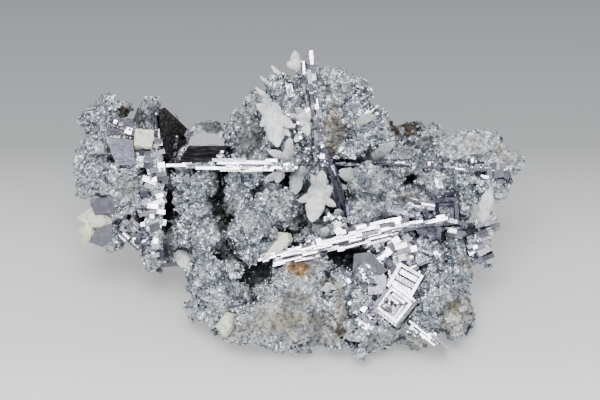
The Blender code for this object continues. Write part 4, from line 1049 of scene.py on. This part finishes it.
# Root and tip (x, y, z), width and thickness of each blade, by spray.
SPRAYS = {
    "calcite_crown": [
        ((-1.0, 78.6, -8.6), (-1.4, 84.8, -7.4), 3.6, 2.4),
        ((-1.2, 79.2, -8.4), (-3.6, 81.6, -6.6), 2.6, 1.8),
        ((-0.8, 79.2, -8.4), (0.8, 82.0, -6.8), 2.6, 1.8),
    ],
    "calcite_side_blade_low": [((-7.0, 69.0, -8.0), (-12.6, 74.4, -6.5), 1.8, 1.0)],
    "calcite_side_blade_mid": [((-7.2, 73.8, -8.6), (-11.4, 77.6, -7.5), 1.4, 0.9)],
    "calcite_side_blade_top": [((-4.6, 76.6, -9.0), (-8.2, 80.6, -8.0), 1.6, 0.9)],
    "calcite_upper_spray": [
        ((-8.4, 70.0, -4.0), (-6.2, 57.2, 2.8), 6.4, 2.8),
        ((-7.0, 65.6, -4.0), (-12.2, 69.4, 0.6), 3.4, 1.8),
        ((-7.4, 66.0, -3.6), (-11.2, 63.2, 1.8), 3.0, 1.6),
        ((-7.0, 66.2, -3.4), (-1.8, 63.0, 2.4), 3.4, 1.8),
        ((-8.0, 67.0, -4.0), (-10.4, 71.0, -0.4), 3.0, 1.8),
        ((-6.4, 63.6, -3.0), (-2.6, 60.4, 1.8), 2.4, 1.6),
    ],
    "calcite_inner_mass": [
        ((0.2, 68.0, -6.0), (2.2, 60.4, 0.4), 3.8, 2.4),
        ((0.4, 61.6, -5.4), (2.8, 67.6, 0.2), 2.8, 2.0),
    ],
    "calcite_pair_above": [
        ((-3.2, 54.2, -2.0), (-9.0, 56.2, 5.6), 2.6, 1.7),
        ((-3.4, 54.2, -2.0), (-2.8, 60.0, 5.4), 3.0, 1.8),
    ],
    "calcite_main_cluster": [
        ((5.6, 43.0, -8.0), (6.2, 50.8, 4.6), 4.6, 3.0),
        ((5.8, 47.6, -6.0), (3.2, 36.4, 7.4), 6.4, 3.6),
        ((5.0, 44.0, -6.0), (-0.6, 42.2, 5.4), 2.8, 1.8),
        ((5.4, 43.6, -6.0), (10.0, 40.8, 4.6), 2.8, 2.0),
        ((5.0, 44.0, -7.0), (9.0, 46.0, 4.0), 4.6, 2.4),
        ((5.4, 45.0, -8.0), (3.2, 49.8, 2.4), 2.6, 1.6),
    ],
    "calcite_long_blade": [((51.0, 35.6, -3.6), (53.8, 47.4, -1.8), 4.2, 2.6)],
    "calcite_foot": [((-34.6, 28.2, -9.0), (-31.4, 23.2, -4.4), 4.4, 2.4)],
    "calcite_flake": [((21.6, 26.0, -1.0), (23.0, 31.4, 7.4), 2.4, 1.2)],
}
CLEAR_SPRAYS = {
    "calcite_pair_below": [
        ((-5.4, 50.2, 1.0), (-10.0, 47.8, 6.4), 2.4, 1.4),
        ((-4.8, 50.4, 1.0), (-6.8, 47.4, 7.2), 2.6, 1.6),
    ],
    "calcite_broad_blade": [((-0.8, 51.6, -6.0), (-1.4, 44.0, 3.0), 4.4, 1.6)],
    "calcite_shaded_blade": [((8.0, 37.0, -10.0), (5.2, 32.4, 0.6), 3.4, 1.8)],
    "calcite_fan_blade": [((12.6, 63.6, -9.0), (21.0, 66.2, -2.0), 3.8, 1.6)],
    "calcite_curved_blade": [((20.4, 54.4, -6.0), (26.6, 58.8, 1.2), 3.4, 1.5)],
    "calcite_inner_blade": [((17.6, 48.0, -4.0), (10.8, 50.8, 4.2), 4.6, 1.6)],
}
for sprays, material in ((SPRAYS, milky_calcite), (CLEAR_SPRAYS, clear_calcite)):
    for replaced, blades in sprays.items():
        add_blades(replaced.removeprefix("calcite_") + "_crystals", blades, material, replaced)

# Stubby calcites, rooted deep, whose tips stand out beside the sprays by a millimetre or two.
STUBS = [
    ((3.9, 74.4, -4.4), (4.1, 74.9, -1.4), 1.5, 1.4),
    ((5.3, 75.1, -9.4), (5.5, 75.5, -6.0), 1.5, 1.4),
    ((6.5, 74.0, -9.4), (6.9, 74.3, -6.0), 1.6, 1.4),
    ((5.2, 73.4, -9.4), (5.4, 73.2, -6.2), 1.3, 1.2),
    ((-0.2, 67.0, -5.4), (-0.6, 68.6, -2.4), 2.2, 1.4),
    ((1.0, 65.4, -3.0), (0.2, 63.4, 0.4), 2.2, 1.4),
    ((-1.0, 65.4, -5.4), (-2.6, 66.6, -2.0), 2.0, 1.3),
    ((1.6, 62.6, -2.4), (2.4, 60.8, 0.6), 2.2, 1.4),
    ((-0.2, 60.6, -2.6), (-1.4, 58.8, 0.6), 2.0, 1.2),
    ((7.8, 38.6, -10.0), (7.4, 40.2, 0.4), 1.6, 1.0),
    ((8.8, 37.4, -9.6), (9.8, 38.8, 0.2), 1.6, 1.0),
    ((7.6, 36.2, -8.0), (6.8, 36.8, 1.2), 1.8, 1.0),
    ((5.4, 33.8, -5.6), (3.6, 35.2, 3.0), 3.0, 1.4),
    ((9.0, 34.6, -6.0), (8.0, 36.0, 4.6), 3.2, 1.4),
    ((6.2, 32.4, 0.0), (7.6, 35.0, 7.4), 3.0, 1.6),
    ((9.0, 33.2, 0.0), (6.0, 34.4, 7.2), 2.6, 1.4),
    ((11.6, 38.0, -4.0), (9.8, 39.8, 3.4), 2.8, 1.4),
    ((11.4, 35.8, -3.0), (12.6, 37.6, 4.0), 2.8, 1.4),
    ((-4.0, 51.0, 2.0), (-2.2, 52.4, 6.2), 1.8, 1.0),
    ((1.0, 50.4, -2.0), (0.4, 52.0, 3.8), 2.0, 1.1),
    ((7.0, 17.4, 3.0), (8.4, 19.6, 9.4), 3.0, 1.8),
    ((9.4, 18.4, 3.0), (6.2, 17.6, 9.0), 2.8, 1.6),
    ((8.4, 20.6, 3.0), (9.8, 17.6, 9.0), 2.8, 1.6),
    ((10.6, 15.4, 3.0), (9.2, 17.0, 9.2), 3.0, 1.6),
    ((7.8, 15.0, 3.0), (7.2, 16.6, 8.8), 2.6, 1.5),
]
add_blades("small_calcites", STUBS, milky_calcite, "calcite_inner_mass")


# --- Dolomite -------------------------------------------------------------------------------
# Cream dolomite fills a few corners between the plates as dull, sugary masses with iron-yellow
# specks. Its grains grew together where they sit, so each mass is moulded to its corner.

# Sugary dolomite: grains of 0.6 mm that give a dull, soft white, with specks of iron stain.
dolomite, tree, shader = new_material("sugary_dolomite")
place = node(tree, "TexCoord").outputs["Object"]
specks = node(tree, "TexNoise", {"Vector": place, "Scale": 600.0, "Detail": 5.0})
sugar = node(tree, "TexVoronoi", {"Vector": place, "Scale": 1600.0})
stops = [(0.3, "#b9b08c"), (0.45, "#e4e4cf"), (0.7, "#f7f7ee")]
tint = node(tree, "ValToRGB", {"Fac": specks}, stops)
relief = node(tree, "Bump", {"Height": sugar, "Strength": 0.6, "Distance": 0.0003})
feed(shader, {"Base Color": tint, "Roughness": 0.5, "Normal": relief})
MASS_VOXEL = 0.28 * MM  # side of the masses' faces
for mass in ("left_block", "left_wedge", "centre_wedge", "front_rim"):
    sugary = fine_copy(f"{mass}_mass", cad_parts[f"dolomite_{mass}"], MASS_VOXEL)
    points, normals = face_arrays(sugary.data)
    swell = 0.45 * soft_noise(points, 2.4, 21) + 0.14 * facets(points, 0.9, 23, 1.5)
    reshape(sugary.data, points + normals * swell[:, None], dolomite)
    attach(sugary, "root")
    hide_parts(f"dolomite_{mass}")

# The centre mass tapers along the long plate to a point.
RIM = [(-10.6, 26.0), (-7.6, 30.2), (-3.6, 33.6), (-2.8, 30.6), (-6.6, 27.2)]
rim = add_piece("centre_rim", *terraced_face(RIM, 6.4, -0.2, -0.4, 5.0, 3), dolomite)
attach(rim, "root")
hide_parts("dolomite_centre_wedge")


# --- Table and light ------------------------------------------------------------------------
# The specimen rests on a plain pale table under a large soft light, seen from in front and
# above, square to its display face.

TABLE = [(-3, -2, 0), (3, -2, 0), (3, 4, 0), (-3, 4, 0)]  # corners in metres
mesh = bpy.data.meshes.new("table")
mesh.from_pydata(TABLE, [], [(0, 1, 2, 3)])
table = add_object("table", mesh)
# matt paper, lit less and less towards its far side, where it falls off to a darker grey: the
# fall-off is painted shade in its colour, and the paper glows in that colour, a painted light that
# softens the shadows on it
paper, tree, shader = new_material("table_paper")
place = node(tree, "TexCoord").outputs["Object"]
depth = node(tree, "SeparateXYZ", {"Vector": place}).outputs["Y"]
reach = node(tree, "MapRange", {"Value": depth, 1: -0.06, 2: 0.14})
stops = [
    (0.0, "#cdcdcc"), (0.15, "#b8b8b8"), (0.36, "#aaaaaa"), (0.48, "#959697"), (0.6, "#777879"),
    (1.0, "#606265"),
]
fall = node(tree, "ValToRGB", {"Fac": reach}, stops)
feed(shader, {
    "Base Color": fall, "Emission Color": fall, "Emission Strength": 0.86, "Roughness": 0.7,
})
table.data.materials.append(paper)

# one soft light 0.6 m wide, a metre above the table and a little in front of the specimen
lamp = bpy.data.lights.new("key", "AREA")
lamp.shape, lamp.size, lamp.size_y, lamp.energy = "RECTANGLE", 0.62, 0.58, 13.0
light = add_object("key", lamp)
light.location = (-0.08, -0.42, 1.0)
light.rotation_mode = "QUATERNION"
light.rotation_quaternion = (light.location - Vector((0, 0, 0.03))).to_track_quat("Z", "Y")
world = bpy.data.worlds.new("studio")
bpy.context.scene.world = world
world.use_nodes = True
# a bright ceiling over walls that darken downwards
tree = world.node_tree
way = node(tree, "TexCoord").outputs["Generated"]
height = node(tree, "SeparateXYZ", {"Vector": way}).outputs["Z"]
stops = [(0.0, "#8f9194"), (0.35, "#b4b6b9"), (0.62, "#e6e7e9"), (0.85, "#ffffff")]
room = node(tree, "ValToRGB", {"Fac": height}, stops)
feed(tree.nodes["Background"], {"Color": room, "Strength": 1.22})

VIEW_DISTANCE, VIEW_WIDTH = 0.9, 0.168  # metres to the display face, and across the view there
focus = Vector(to_part([0.0, 42.56, 0.0]))  # the middle of the view
back = Vector(TIP_BACK[2])
optics = bpy.data.cameras.new("camera")
optics.sensor_width = 36
optics.lens = optics.sensor_width * VIEW_DISTANCE / VIEW_WIDTH
camera = add_object("camera", optics)
camera.location = focus + back * VIEW_DISTANCE
camera.rotation_mode = "QUATERNION"
camera.rotation_quaternion = back.to_track_quat("Z", "Y")
bpy.context.scene.camera = camera

bpy.context.view_layer.update()
